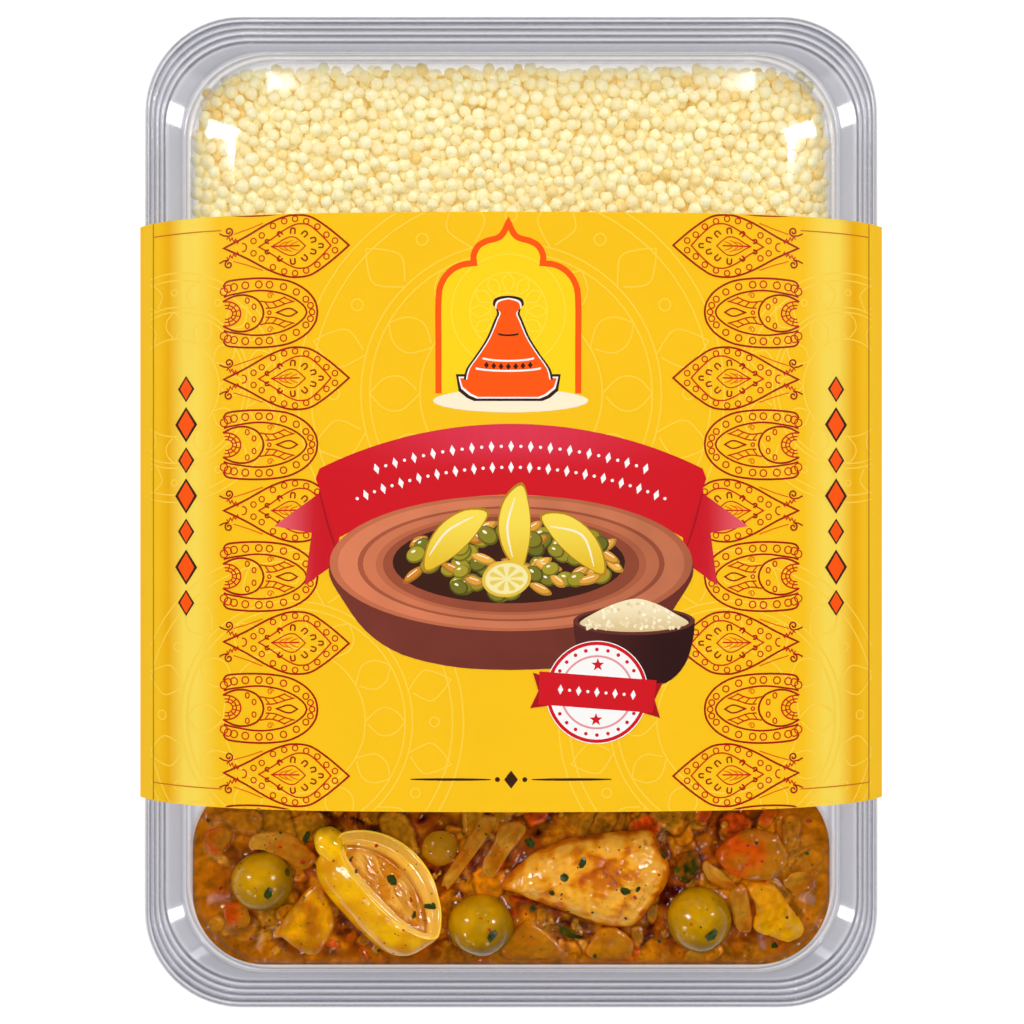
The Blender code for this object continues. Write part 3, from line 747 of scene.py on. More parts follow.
def draw_arch(sheet):
    """A round-ended arch with a row of rings and a half rosette at its foot."""
    lines = [spline(points, 6) for points in (ARCH_OUTER, ARCH_INNER, ARCH_EYE)]
    for line, width in zip(lines, (0.42, 0.38, 0.42)):
        sheet.stroke(with_mirror(line), width, "henna")
    outer, inner = lines[:2]
    for step in range(11):
        index = round(1 + (len(outer) - 2) * step / 10)
        middle = (outer[index] + inner[index]) / 2
        radius = 0.86 - 0.024 * step
        for sign in ((-1, 1) if step < 10 else (1,)):
            sheet.ring(middle.x, sign * middle.y, radius, radius, 0.28, "henna_light", count=12)
    for radius, width in ((1.2, 0.30), (1.9, 0.30), (2.7, 0.34)):
        sheet.stroke(arc(-63.3, 0, radius * 1.25, radius, -100, 100, 14), width, "henna_light")
    for angle in range(-75, 76, 30):
        spoke = [polar(-63.3, 0, reach * 1.25, reach, angle) for reach in (1.2, 2.7)]
        sheet.stroke(spoke, 0.26, "henna_light")
    for angle in (-58, -25, 25, 58):
        sheet.ring(*polar(-60.6, 0, 4.1, 3.3, angle), 0.45, 0.6, 0.26, "henna_light", 0, 10)
    for sign in (-1, 1):
        upper = spline([(-55.5, 2.6), (-53.2, 2.3), (-51.4, 2.7), (-49.8, 3.4)], 4)
        lower = spline([(-54.2, 1.0), (-52.2, 1.1), (-49.8, 1.9), (-47.7, 2.45)], 4)
        for line in (upper, lower):
            sheet.stroke([(p.x, sign * p.y) for p in line], 0.30, "henna_light")
        for index in (2, 5, 8, 11):
            rung = [(line[index].x, sign * line[index].y) for line in (upper, lower)]
            sheet.stroke(rung, 0.26, "henna_light")
        sheet.spiral(-53.2, sign * 3.75, 0.75, 1.3, 0, 0.22, "orange")
    sheet.stroke(leaf_line(-51.8, -47.1, 0.85, 3), 0.34, "henna", closed=True)
    sheet.ring(-53.4, 0, 0.4, 0.4, 0.26, "henna_light", 0, 8)


def draw_frame(sheet):
    """The fold line and the thin rules of the frame, and a chain of lozenges."""
    sheet.stroke([(-81.6, -66.5), (-81.6, 66.5)], 0.30, "frame")
    for y in (-61.6, 62.6):
        sheet.stroke([(-81.4, y), (-64.4, y)], 0.26, "frame")
    for step in range(-3, 4):
        size = 1.0 if step % 2 else 1.35
        for grow, ink in ((0.55, "brown"), (0.0, "niche")):
            sheet.fill(shifted(lozenge(1.5 + grow, 2.4 + grow), -73.0, 3.6 + 8.0 * step, size), ink)


def draw_rosettes(sheet):
    """The faint pattern of the ground: a large rosette and quarters of it around."""
    for centre_x, centre_y, size in ((0, 26, 1.0), (-48, -46, 0.8), (48, -46, 0.8), (-76, 28, 0.55),
                                     (76, 28, 0.55)):
        for radius in (20, 31, 33, 44, 47):
            sheet.stroke(arc(centre_x, centre_y, radius * size, radius * size, 0, 360, 60), 0.32, "faint")
        for spoke in range(12):
            angle = 30 * spoke
            for lean, petal in ((0, [(20, 0), (24, 3.6), (28, 3.2), (31, 0)]),
                                (15, [(33, 0), (38, 4.2), (42, 2.6), (45, 0)])):
                petal = shifted(with_mirror(spline(petal, 4)), centre_x, centre_y, size, angle + lean)
                sheet.stroke(petal, 0.30, "faint")
            turned = shifted([(39, 0)], centre_x, centre_y, size, angle)[0]
            sheet.ring(turned.x, turned.y, 1.3 * size, 1.3 * size, 0.28, "faint", 0, 14)


NICHE_X = -0.6
NICHE_LINE = ((15.3, 26.0), (15.3, 36.0), (15.3, 46.5), (14.6, 50.2), (12.8, 52.7), (10.3, 54.1), (7.5, 54.5))
NICHE_CROWN = ((7.5, 54.5), (7.6, 56.2), (6.7, 58.1), (4.9, 59.3), (2.4, 60.0), (1.1, 61.1), (0.0, 63.4))
POT_LID = ((9.0, 29.0), (8.4, 31.4), (6.3, 34.4), (4.0, 38.0), (2.3, 42.0), (1.7, 43.6), (2.6, 44.6),
           (2.1, 46.0), (0.0, 46.6))
POT_DISH = ((10.6, 29.3), (10.0, 27.4), (8.2, 25.9), (6.6, 25.2), (0.0, 25.2))


def both_sides(points, grow=0.0):
    """A closed outline from its right half, grown outwards a little."""
    right = [Vector((x + (grow if x > 0.2 else 0), y)) for x, y in points]
    left = [Vector((-p.x, p.y)) for p in reversed(right) if abs(p.x) > 1e-6]
    return [Vector((NICHE_X + p.x, p.y)) for p in right + left]


def draw_niche(sheet):
    """A niche with a pointed arch and, on a pale table, a tagine pot."""
    right = spline(NICHE_LINE, 5)[:-1] + spline(NICHE_CROWN, 5)
    outline = [Vector((NICHE_X + p.x, p.y)) for p in right]
    outline += [Vector((NICHE_X - p.x, p.y)) for p in right[-2::-1]]
    sheet.fill(outline, "niche_field")
    for reach in (4.0, 8.5, 12.5):
        sheet.stroke(arc(NICHE_X, 44, reach, reach, 0, 360, 36), 0.26, "niche_faint")
    for spoke in range(12):
        petal = with_mirror(spline([(4.0, 0), (6.4, 1.3), (8.5, 0)], 4))
        sheet.stroke(shifted(petal, NICHE_X, 44, 1.0, 30 * spoke), 0.26, "niche_faint")
    sheet.stroke(outline, 1.35, "niche")
    sheet.disc(NICHE_X + 0.5, 24.4, 17.0, 2.6, "cream", 0, 48)
    for grow, ink in ((0.9, "brown"), (0.35, "white"), (0.0, "niche")):
        dish = [(x, y + (grow if y > 29 else -grow)) for x, y in POT_DISH]
        sheet.fill(both_sides(dish, grow), ink)
    for grow, ink in ((0.8, "brown"), (0.3, "white"), (0.0, "niche")):
        top = max(y for x, y in POT_LID)
        lid = [(x, y + (grow if y > top - 3 else 0)) for x, y in spline(POT_LID, 3)]
        sheet.fill(both_sides(lid, grow), ink)
    for y, reach in ((31.2, 7.6), (33.4, 6.0)):
        sheet.stroke(arc(NICHE_X, y + 0.6, reach, 0.9, 200, 340, 12), 0.42, "white")
    for step in range(7):
        across = -4.8 + 1.6 * step
        sheet.fill(shifted(lozenge(0.55, 0.75), NICHE_X + across, 31.85 + 0.5 * (across / 6.0) ** 2), "brown")
    sheet.stroke(arc(NICHE_X, 39.2, 2.4, 0.5, 200, 340, 8), 0.40, "brown")


BANNER_CENTRE = -76.8
BANNER_RADII = (80.6, 96.1)


def banner_shade(x, y):
    glow = exp(-(x / 26) ** 2) * smooth_step((y - 8) / 9)
    return mix((0.64, 0.005, 0.013), (0.72, 0.035, 0.075), glow)


def tail_shade(x, y):
    return mix((0.60, 0.006, 0.016), (0.80, 0.11, 0.14), smooth_step((abs(x) - 42) / 10))


def draw_banner(sheet):
    """An arched ribbon with swallow tails and a chain of lozenges along it."""
    for side in (1.0, -1.0):
        tail = [(-41.0, 5.0), (-52.3, -3.1), (-43.9, -4.6), (-45.4, -16.1), (-38.4, -11.2), (-37.6, -4.5)]
        sheet.fill([(side * x, y) for x, y in tail], tail_shade)
        crease = [(-42.2, 4.6), (-40.2, -3.0), (-38.2, -9.0)]
        sheet.stroke([(side * x, y) for x, y in crease], 0.5, "deep_red", taper=True)
    outer = arc(0, BANNER_CENTRE, BANNER_RADII[1], BANNER_RADII[1], 116.0, 64.0, 40)
    inner = arc(0, BANNER_CENTRE, BANNER_RADII[0], BANNER_RADII[0], 61.8, 118.2, 40)
    sheet.fill(outer + [(42.7, 8.1), (43.0, 7.3)] + inner + [(-43.0, 7.3), (-42.7, 8.1)], banner_shade)
    for row, radius in enumerate((91.2, 86.6)):
        reach = 17 - 3 * (1 - row)
        for step in range(-reach, reach + 1):
            angle = 90 + 1.35 * step
            x, y = polar(0, BANNER_CENTRE, radius, radius, angle)
            if step % 2:
                sheet.disc(x, y, 0.36, 0.36, "white", 0, 10)
            else:
                sheet.fill(shifted(lozenge(0.62, 1.25), x, y, 1.0, angle - 90), "white")


DISH_Y = -11.6
DISH_RX, DISH_RY = 39.9, 14.9


def clay(base):
    """A shade of terracotta that is lighter to the left and mottled."""
    def shade(x, y):
        light = 1.0 - 0.16 * x / DISH_RX + 0.12 * noise(Vector((x * 0.16, y * 0.16, 0)))
        return tuple(channel * light for channel in base)
    return shade


def draw_dish(sheet):
    """A wide terracotta dish of olives, almonds and lemon, drawn in flat shapes."""
    draw = random.Random(4)
    body = [(-DISH_RX, DISH_Y + 1.0), (-DISH_RX, DISH_Y - 2.5), (-37.5, -18.5), (-32.0, -26.0),
            (-24.0, -31.2), (-12.0, -34.0), (0.0, -34.6)]
    sheet.fill(mirrored(spline(body, 4)), clay((0.165, 0.030, 0.019)))
    rim = ((1.0, (0.50, 0.135, 0.058)), (0.955, (0.62, 0.185, 0.085)), (0.845, (0.35, 0.080, 0.036)),
           (0.815, (0.56, 0.160, 0.070)), (0.745, (0.46, 0.120, 0.052)), (0.705, (0.30, 0.066, 0.030)))
    for share, base in rim:
        drop = -1.3 * (1 - share) / 0.3
        sheet.disc(0, DISH_Y + 0.4 + drop * 0.2, DISH_RX * share, DISH_RY * share, clay(base), 0, 64)
    sheet.disc(-0.5, DISH_Y + 0.6, 25.5, 9.0, "brown", 0, 48)
    for number in range(96):
        angle, reach = draw.uniform(0, tau), sqrt(draw.uniform(0.05, 1.0))
        x, y = -0.5 + 24.0 * reach * cos(angle), DISH_Y + 1.0 + 7.6 * reach * sin(angle)
        y += 2.2 * (1 - reach)
        kind = draw.random()
        turn = draw.uniform(-40, 40)
        if kind < 0.62:
            green = mix((0.13, 0.13, 0.012), (0.42, 0.34, 0.02), draw.random())
            size = draw.uniform(1.5, 2.2)
            sheet.disc(x, y, size * 1.15, size * 0.9, plain(tuple(v * 0.45 for v in green)), turn, 14)
            sheet.disc(x - 0.12, y + 0.15, size, size * 0.75, plain(green), turn, 14)
            sheet.disc(x - size * 0.3, y + size * 0.35, size * 0.28, size * 0.15, "cream", turn, 8)
        else:
            gold = mix((0.62, 0.20, 0.010), (0.90, 0.47, 0.06), draw.random())
            long = draw.uniform(2.0, 3.6)
            shard = spline([(-long, 0), (-long * 0.3, 1.1), (long * 0.6, 0.9), (long, 0.1),
                            (long * 0.4, -0.9), (-long * 0.5, -0.8)], 3, True)
            sheet.fill(shifted(shard, x, y, 1.0, turn), plain(tuple(v * 0.6 for v in gold)))
            sheet.fill(shifted(shard, x - 0.1, y + 0.25, 0.8, turn), plain(gold))
            gleam = shifted([(-long * 0.5, 0.35), (long * 0.4, 0.4)], x, y + 0.2, 1.0, turn)
            sheet.stroke(gleam, 0.3, "cream", taper=True)
    # Three wedges of lemon fan out over the food, with a slice before them.
    for x, y, turn, bend in ((-12.5, -6.0, 42, 1.0), (1.5, -3.4, 88, 1.0), (14.0, -6.8, 138, -1.0)):
        wedge = spline([(-9.0, -0.6), (-5.0, 2.4), (0.5, 3.6), (6.0, 2.6), (9.2, -0.4), (5.0, -1.8),
                        (0, -2.3), (-5.0, -1.9)], 4, True)
        wedge = [Vector((p.x * 1.08, p.y * bend * 1.25)) for p in wedge]
        sheet.fill(shifted(wedge, x, y, 1.0, turn), plain((0.45, 0.22, 0.008)))
        sheet.fill(shifted(wedge, x, y, 0.93, turn), lambda a, b: mix((0.78, 0.47, 0.012), (0.95, 0.72, 0.08),
                                                                      smooth_step((b + 16) / 16)))
        edge = spline([(-7.2, 1.1), (0, 2.6 * bend), (7.2, 1.0)], 5)
        sheet.stroke(shifted(edge, x, y, 0.9, turn), 0.5, "cream", taper=True)
    sheet.disc(-1.0, -14.6, 5.4, 4.0, plain((0.80, 0.52, 0.05)), 8, 32)
    sheet.disc(-1.0, -14.6, 4.7, 3.4, plain((0.92, 0.80, 0.36)), 8, 32)
    for spoke in range(8):
        turned = shifted([(0.7, 0), (3.6, 0.75), (3.9, 0), (3.6, -0.75)], 0, 0, 1.0, 22.5 + 45 * spoke)
        sheet.fill([(-1.0 + p.x, -14.6 + p.y * 0.72) for p in turned], plain((0.82, 0.60, 0.10)))


def draw_bowl(sheet):
    """A small dark bowl of couscous in front of the dish."""
    draw = random.Random(9)
    x, y = 27.0, -23.9
    side = [(-13.4, 0.3), (-13.0, -4.0), (-11.2, -9.6), (-7.0, -13.6), (0, -14.6)]
    sheet.fill(shifted(mirrored(spline(side, 4)), x, y),
               lambda a, b: mix((0.085, 0.016, 0.013), (0.030, 0.007, 0.007), smooth_step((a - 14) / 20)))
    sheet.disc(x, y, 13.4, 3.1, plain((0.13, 0.030, 0.020)), 0, 40)
    sheet.disc(x, y + 0.1, 12.4, 2.4, plain((0.05, 0.012, 0.010)), 0, 40)
    heap = spline([(-12.0, -0.6), (-8.5, 1.9), (-4.0, 3.9), (0.5, 4.9), (5.0, 3.7), (9.0, 1.6), (12.0, -0.6),
                   (6.5, -2.0), (0, -2.4), (-6.5, -2.0)], 4, True)
    sheet.fill(shifted(heap, x, y), lambda a, b: mix((0.72, 0.52, 0.26), (0.93, 0.80, 0.50),
                                                     smooth_step((b + 27) / 7)))
    for number in range(90):
        across = draw.uniform(-10.5, 10.5)
        up = draw.uniform(-1.7, 4.1 - 0.036 * across ** 2)
        pale = mix((0.80, 0.60, 0.32), (1.0, 0.92, 0.68), draw.random())
        sheet.disc(x + across, y + up, 0.50, 0.36, plain(pale), draw.uniform(0, 180), 7)


SEAL_X, SEAL_Y, SEAL_RADIUS = 18.8, -39.5, 11.3


def draw_seal(sheet):
    """A round white seal with two red rings, a star and a ribbon across it."""
    x, y = SEAL_X, SEAL_Y
    sheet.disc(x, y, SEAL_RADIUS, SEAL_RADIUS, "white", 0, 60)
    sheet.ring(x, y, SEAL_RADIUS * 0.95, SEAL_RADIUS * 0.95, 0.75, "red", 0, 60)
    sheet.ring(x, y, SEAL_RADIUS * 0.70, SEAL_RADIUS * 0.70, 0.45, "pink", 0, 48)
    for spoke in range(24):
        dot = polar(x, y, SEAL_RADIUS * 0.83, SEAL_RADIUS * 0.83, 15 * spoke)
        sheet.disc(*dot, 0.42, 0.42, "red", 0, 8)
    for sign in (-1, 1):
        reaches = [0.62 if k % 2 else 1.5 for k in range(10)]
        star = [polar(0, 0, reach, reach, 36 * k + 90) for k, reach in enumerate(reaches)]
        sheet.fill(shifted(star, x + 0.2 * sign, y + sign * 6.0), "red")
    for side in (-1, 1):
        fold = [(side * reach, up) for reach, up in ((9.8, 2.2), (14.3, 3.2), (12.8, -0.7), (14.3, -4.6),
                                                     (9.8, -3.6))]
        sheet.fill(shifted(fold, x, y, 1.0, -4.5), "deep_red")
    band = [(-12.9, 3.6), (12.9, 3.6), (12.6, -3.6), (-12.6, -3.6)]
    sheet.fill(shifted(band, x, y, 1.0, -4.5), "red")
    for step in range(-4, 5):
        dot = [(0.35 * cos(0.9 * k), 0.35 * sin(0.9 * k)) for k in range(7)]
        shape = dot if step % 2 else lozenge(0.6, 1.1)
        centre = shifted([(2.0 * step, 0)], x, y, 1.0, -4.5)[0]
        sheet.fill(shifted(shape, centre.x, centre.y, 1.0, -4.5), "white")


def draw_divider(sheet):
    """A dark divider under the picture."""
    for x in (-1, 1):
        sheet.stroke(spline([(x * 4.5, -58.6), (x * 22.0, -58.6)], 8), 0.55, "brown", taper=True)
        sheet.disc(x * 3.0, -58.6, 0.55, 0.55, "brown", 0, 12)
    sheet.fill(shifted(lozenge(1.5, 2.0), 0, -58.6), "brown")


def ink_material(name):
    material, tree, shader = shaded(f"{name}_ink", {
        "Base Color": (*INKS[name], 1.0), "Roughness": 0.40, "Specular IOR Level": 0.20})
    if name == "picture":
        tint = add_node(tree, "ShaderNodeAttribute", attribute_name="tint")
        set_inputs(shader, {"Base Color": tint.outputs["Color"]})
    return material


def cut_sheet(bm, axis, places, side=1.0, trim=False):
    """Cut everything on the sheet along lines across one axis, or trim what is past them."""
    for place in places:
        point, normal = Vector((0, 0, 0)), Vector((0, 0, 0))
        point[axis], normal[axis] = place, side
        bmesh.ops.bisect_plane(bm, geom=bm.verts[:] + bm.edges[:] + bm.faces[:], dist=1e-5,
                               plane_co=point, plane_no=normal, clear_outer=trim)


def print_layer(name, layers):
    """Lay drawings on the crown: (drawing, film), or with its sides and places along Y too."""
    bm = bmesh.new()
    shade_layer = bm.faces.layers.int.new("shade")
    tint = bm.loops.layers.float_color.new("tint")
    slots, shades = [], []
    for drawing, film, *where in layers:
        sides, places = where or ((1.0,), (0.0,))
        sheet = Sheet()
        drawing(sheet)
        corners, faces, inks = sheet.flattened()
        for side in sides:
            for place in places:
                verts = [bm.verts.new((corner.x * side, corner.y + place, film)) for corner in corners]
                for loop, ink in zip(faces, inks):
                    face = bm.faces.new([verts[index] for index in (loop if side > 0 else loop[::-1])])
                    if callable(ink):
                        shades.append(ink)
                        face[shade_layer] = len(shades)
                    kind = "picture" if callable(ink) else ink
                    if kind not in slots:
                        slots.append(kind)
                    face.material_index = slots.index(kind)
    edge = sleeve_high.y * 1000 - 0.15
    for axis, side, limit in ((1, 1, edge), (1, -1, edge), (0, 1, PRINT_HALF), (0, -1, PRINT_HALF)):
        cut_sheet(bm, axis, [side * limit], side, True)
    if shades:
        cut_sheet(bm, 1, [k * SHADE_STEP for k in range(-16, 5)])
    cut_sheet(bm, 0, [x * 1000 for x in CROWN_FACETS[1:-1]])
    for face in bm.faces:
        if face[shade_layer]:
            for loop in face.loops:
                loop[tint] = (*shades[face[shade_layer] - 1](loop.vert.co.x, loop.vert.co.y), 1.0)
    for vert in bm.verts:
        x = vert.co.x / 1000
        vert.co = Vector((x, vert.co.y / 1000, crown_height(x) + INK_LIFT * vert.co.z))
    layer = mesh_piece(name, bm, ink_material(slots[0]), 0)
    for ink in slots[1:]:
        layer.data.materials.append(ink_material(ink))


BOTH = (1.0, -1.0)
LEAF_PLACES = [BORDER_FIRST + BORDER_PITCH * number for number in range(-2, 3)]
ARCH_PLACES = [BORDER_FIRST + BORDER_PITCH * (number + 0.5) for number in range(-3, 3)]
print_layer("ground_print", [(draw_rosettes, 1)])
print_layer("border_print", [(draw_leaf, 2, BOTH, LEAF_PLACES), (draw_arch, 2, BOTH, ARCH_PLACES),
                             (draw_frame, 2, BOTH, (0.0,))])
print_layer("picture_print", [(draw_niche, 2), (draw_banner, 3), (draw_dish, 4), (draw_bowl, 5),
                              (draw_seal, 6), (draw_divider, 2)])


# ---- Couscous ----------------------------------------------------------------
# Pearl couscous: steamed semolina grains about 3 mm across, heaped loosely in the
# large well. A solid core fills the middle and the loose grains lie over it.
# The core takes the grains' darkest orange, painted shade for the gaps between them, and the grains glow a
# little, painted light for what spreads inside them.
GRAIN_RADIUS = 0.00148
GRAIN_RANGE = 0.15
GRAIN_END = 0.040           # grains lie from here to the end of the well
GRAIN_TRIES = 14000
GRAIN_NUDGE = 0.0022        # how far a falling grain looks round for a lower place
UNDER_JITTER = 0.0003
WALL_JITTER = 0.0005
ABOVE_HEAP = 0.0009         # a grain that comes to rest higher than this is dropped
CORE_DROP = 0.0042          # how far the core stays under the heap's top
CORE_GAP = 0.0012           # and off the walls
couscous_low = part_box("couscous")[0]
HEAP_EDGE = RIM_Z - 0.0030
HEAP_RISE = 0.0044
HEAP_WELL = (COUSCOUS_WELL[0], COUSCOUS_WELL[1] - 0.0019)      # the heap stops short of the end wall
UNDER_PITCH = (0.00275, 0.00240)
MOST_GRAINS = 2430          # keeps the piece under 200,000 triangles


def heap_height(x, y):
    """Top of the heap: it climbs from the wall and rolls gently."""
    centre_y = (COUSCOUS_WELL[0] + COUSCOUS_WELL[1]) / 2
    half_y = (COUSCOUS_WELL[1] - COUSCOUS_WELL[0]) / 2
    from_wall = max(0.0, min(WELL_HALF_WIDTH - abs(x), half_y - abs(y - centre_y)))
    rise = HEAP_RISE * (1 - exp(-from_wall / 0.006))
    return HEAP_EDGE + rise + 0.0007 * noise(Vector((x, y, 0)) * 90)


def inside_well(x, y, z, well, margin):
    """True where a point is inside a well, a margin away from its wall."""
    low_y, high_y = well
    inset = (RIM_Z - z) * WELL_TAPER + margin
    half = Vector((WELL_HALF_WIDTH - inset, (high_y - low_y) / 2 - inset))
    radius = WELL_RADIUS - margin
    off = Vector((abs(x), abs(y - (low_y + high_y) / 2)))
    if off.x > half.x or off.y > half.y:
        return False
    corner = off - (half - Vector((radius, radius)))
    return corner.x <= 0 or corner.y <= 0 or corner.length <= radius


def settle_grains(draw):
    """Drop grains one by one. Each tries a few places nearby and rests in the lowest."""
    cell = 2.2 * GRAIN_RADIUS
    resting = {}
    under, placed = [], []

    def add_grain(grain, layer):
        layer.append(grain)
        resting.setdefault((int(grain[0] // cell), int(grain[1] // cell)), []).append(grain)

    def rest_height(x, y, radius):
        height = heap_height(x, y) - CORE_DROP + radius * 0.6
        column = (int(x // cell), int(y // cell))
        for step_x in (-1, 0, 1):
            for step_y in (-1, 0, 1):
                for other in resting.get((column[0] + step_x, column[1] + step_y), ()):
                    reach = (radius + other[3]) * 0.97
                    gap = reach ** 2 - (x - other[0]) ** 2 - (y - other[1]) ** 2
                    if gap > 0:
                        height = max(height, other[2] + sqrt(gap))
        return height

    # A close first layer hides the core, and the rest pile up on it.
    for row in range(int((COUSCOUS_WELL[1] - GRAIN_END) / UNDER_PITCH[1]) + 1):
        for column in range(-28, 29):
            x = (column + 0.5 * (row % 2)) * UNDER_PITCH[0] + draw.uniform(-1, 1) * UNDER_JITTER
            y = GRAIN_END + row * UNDER_PITCH[1] + draw.uniform(-1, 1) * UNDER_JITTER
            z = heap_height(x, y) - CORE_DROP + GRAIN_RADIUS * draw.uniform(0.2, 0.9)
            if inside_well(x, y, z, HEAP_WELL, GRAIN_RADIUS):
                add_grain((x, y, z, GRAIN_RADIUS * (1 + GRAIN_RANGE * draw.uniform(-1, 1))), under)

    for attempt in range(GRAIN_TRIES):
        radius = GRAIN_RADIUS * (1 + GRAIN_RANGE * draw.uniform(-1, 1))
        x, y = draw.uniform(-WELL_HALF_WIDTH, WELL_HALF_WIDTH), draw.uniform(GRAIN_END, COUSCOUS_WELL[1])
        best = None
        for nudge in range(9):
            near_x = x + draw.uniform(-1, 1) * GRAIN_NUDGE
            near_y = y + draw.uniform(-1, 1) * GRAIN_NUDGE
            height = rest_height(near_x, near_y, radius)
            if not inside_well(near_x, near_y, height, HEAP_WELL, radius + 0.0001):
                continue
            if best is None or height < best[2]:
                best = (near_x, near_y, height, radius)
        if best and best[2] <= heap_height(*best[:2]) + ABOVE_HEAP and len(placed) < MOST_GRAINS:
            add_grain(best, placed)
    return under, placed


def wall_grains(draw):
    """Grains pressed against the clear walls, in staggered rows from the floor up."""
    placed = []
    pitch = 2 * GRAIN_RADIUS * 0.98
    z = couscous_low.z + GRAIN_RADIUS + 0.0002
    row = 0
    while z < HEAP_EDGE - GRAIN_RADIUS * 2.0:
        near_floor = max(0.0, FLOOR_FILLET - (z - couscous_low.z))
        fillet = FLOOR_FILLET - sqrt(max(0.0, FLOOR_FILLET ** 2 - near_floor ** 2))
        inset = (RIM_Z - z) * WELL_TAPER + fillet + GRAIN_RADIUS + 0.0003
        half_x = WELL_HALF_WIDTH - inset
        end_y = COUSCOUS_WELL[1] - inset
        radius = max(WELL_RADIUS - inset, 0.002)
        straight = end_y - radius - GRAIN_END
        bend = pi / 2 * radius
        length = 2 * (straight + bend + half_x - radius)
        count = int(length / pitch)
        for index in range(count):
            walk = (index + 0.5 * (row % 2)) * length / count
            side = 1 if walk < length / 2 else -1
            walk = min(walk, length - walk)
            turn = (walk - straight) / radius
            if walk < straight:
                x, y = half_x, GRAIN_END + walk
            elif walk < straight + bend:
                x, y = half_x - radius + radius * cos(turn), end_y - radius + radius * sin(turn)
            else:
                x, y = half_x - radius - (walk - straight - bend), end_y
            size = GRAIN_RADIUS * (1 + GRAIN_RANGE * 0.5 * draw.uniform(-1, 1))
            jitter = [draw.uniform(-1, 1) * WALL_JITTER for axis in range(3)]
            placed.append((side * x + jitter[0], y + jitter[1], z + jitter[2], size))
        z += pitch * 0.87
        row += 1
    return placed


def grain_mesh(name, grains, draw, material):
    """Join a squashed, lumpy icosphere of 80 faces for every resting place."""
    bm = bmesh.new()
    bmesh.ops.create_icosphere(bm, subdivisions=2, radius=1.0)
    corners = np.array([vert.co for vert in bm.verts])
    faces = np.array([[vert.index for vert in face.verts] for face in bm.faces])
    bm.free()
    lumps = np.array([noise(Vector(corner) * 1.7) for corner in corners])
    all_corners, all_faces, shades = [], [], []
    for number, (x, y, z, radius) in enumerate(grains):
        turn = np.array(Matrix.Rotation(draw.uniform(0, tau), 3, (draw.gauss(0, 1), draw.gauss(0, 1), 1)))
        squash = np.array([draw.uniform(0.93, 1.05), draw.uniform(0.93, 1.05), draw.uniform(0.9, 1.0)])
        lumpy = corners * (1 + draw.uniform(0.05, 0.24) * lumps)[:, None]
        all_corners.append((lumpy * squash) @ turn.T * radius + (x, y, z))
        all_faces.append(faces + number * len(corners))
        shades += [draw.random()] * len(corners)
    mesh = bpy.data.meshes.new(name)
    mesh.from_pydata(np.concatenate(all_corners).tolist(), [], np.concatenate(all_faces).tolist())
    layer = mesh.attributes.new("grain", "FLOAT", "POINT")
    layer.data.foreach_set("value", shades)
    mesh.shade_smooth()
    return new_piece(name, mesh, material)


def couscous_material():
    # Each grain takes a random stop; the emission is a painted glow for light spreading inside.
    stops = ((0.0, (0.92, 0.66, 0.22)), (0.06, (0.99, 0.84, 0.47)), (0.60, (1.0, 0.90, 0.55)),
             (1.0, (1.0, 0.94, 0.62)))
    material, tree, shader = shaded("steamed_semolina", {"Roughness": 0.42, "Emission Strength": 0.14})
    pick = add_node(tree, "ShaderNodeAttribute", attribute_name="grain")
    shade = colour_ramp(tree, pick.outputs["Fac"], stops)
    place = add_node(tree, "ShaderNodeTexCoord").outputs["Object"]
    set_inputs(shader, {"Base Color": shade, "Emission Color": shade,
                        "Normal": fine_bump(tree, place, 2200.0, 0.25, 0.00012)})
    return material


def build_couscous():
    semolina = couscous_material()
    bm = bmesh.new()
    low_y, high_y = HEAP_WELL
    centre_y = (low_y + high_y) / 2
    top = HEAP_EDGE - CORE_DROP + 0.0012
    levels = [((RIM_Z - HEAP_EDGE) * WELL_TAPER, top), *floor_steps(couscous_low.z + 0.0003, RIM_Z, 30)]
    sizes = [(WELL_HALF_WIDTH - inset - CORE_GAP, (high_y - low_y) / 2 - inset - CORE_GAP, z)
             for inset, z in reversed(levels)]
    edges = rounded_outline(bm, sizes[0][:2], centre_y, WELL_RADIUS * 0.6, sizes[0][2])
    bmesh.ops.edgeloop_fill(bm, edges=edges)
    edges = ring_chain(bm, edges, centre_y, sizes)
    crown = [(*sizes[-1][:2], top)]
    for share in (0.97, 0.92, 0.84, 0.72, 0.55, 0.35, 0.15):
        half_x, half_y = sizes[-1][0] * share, sizes[-1][1] * share
        crown.append((half_x, half_y, heap_height(half_x, centre_y) - CORE_DROP))
    edges = ring_chain(bm, edges, centre_y, crown)
    bmesh.ops.edgeloop_fill(bm, edges=edges)
    bmesh.ops.recalc_face_normals(bm, faces=bm.faces)
    core = mesh_piece("couscous_core", bm, semolina, 60)
    # The core takes the darkest stop, painted shade for the gaps between the grains.
    layer = core.data.attributes.new("grain", "FLOAT", "POINT")
    layer.data.foreach_set("value", [0.0] * len(core.data.vertices))
    draw = random.Random(11)
    under, placed = settle_grains(draw)
    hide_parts("couscous")
    for name, grains in (("couscous_under_grains", under), ("couscous_grains", placed),
                         ("couscous_wall_grains", wall_grains(draw))):
        grain_mesh(name, grains, draw, semolina)


build_couscous()

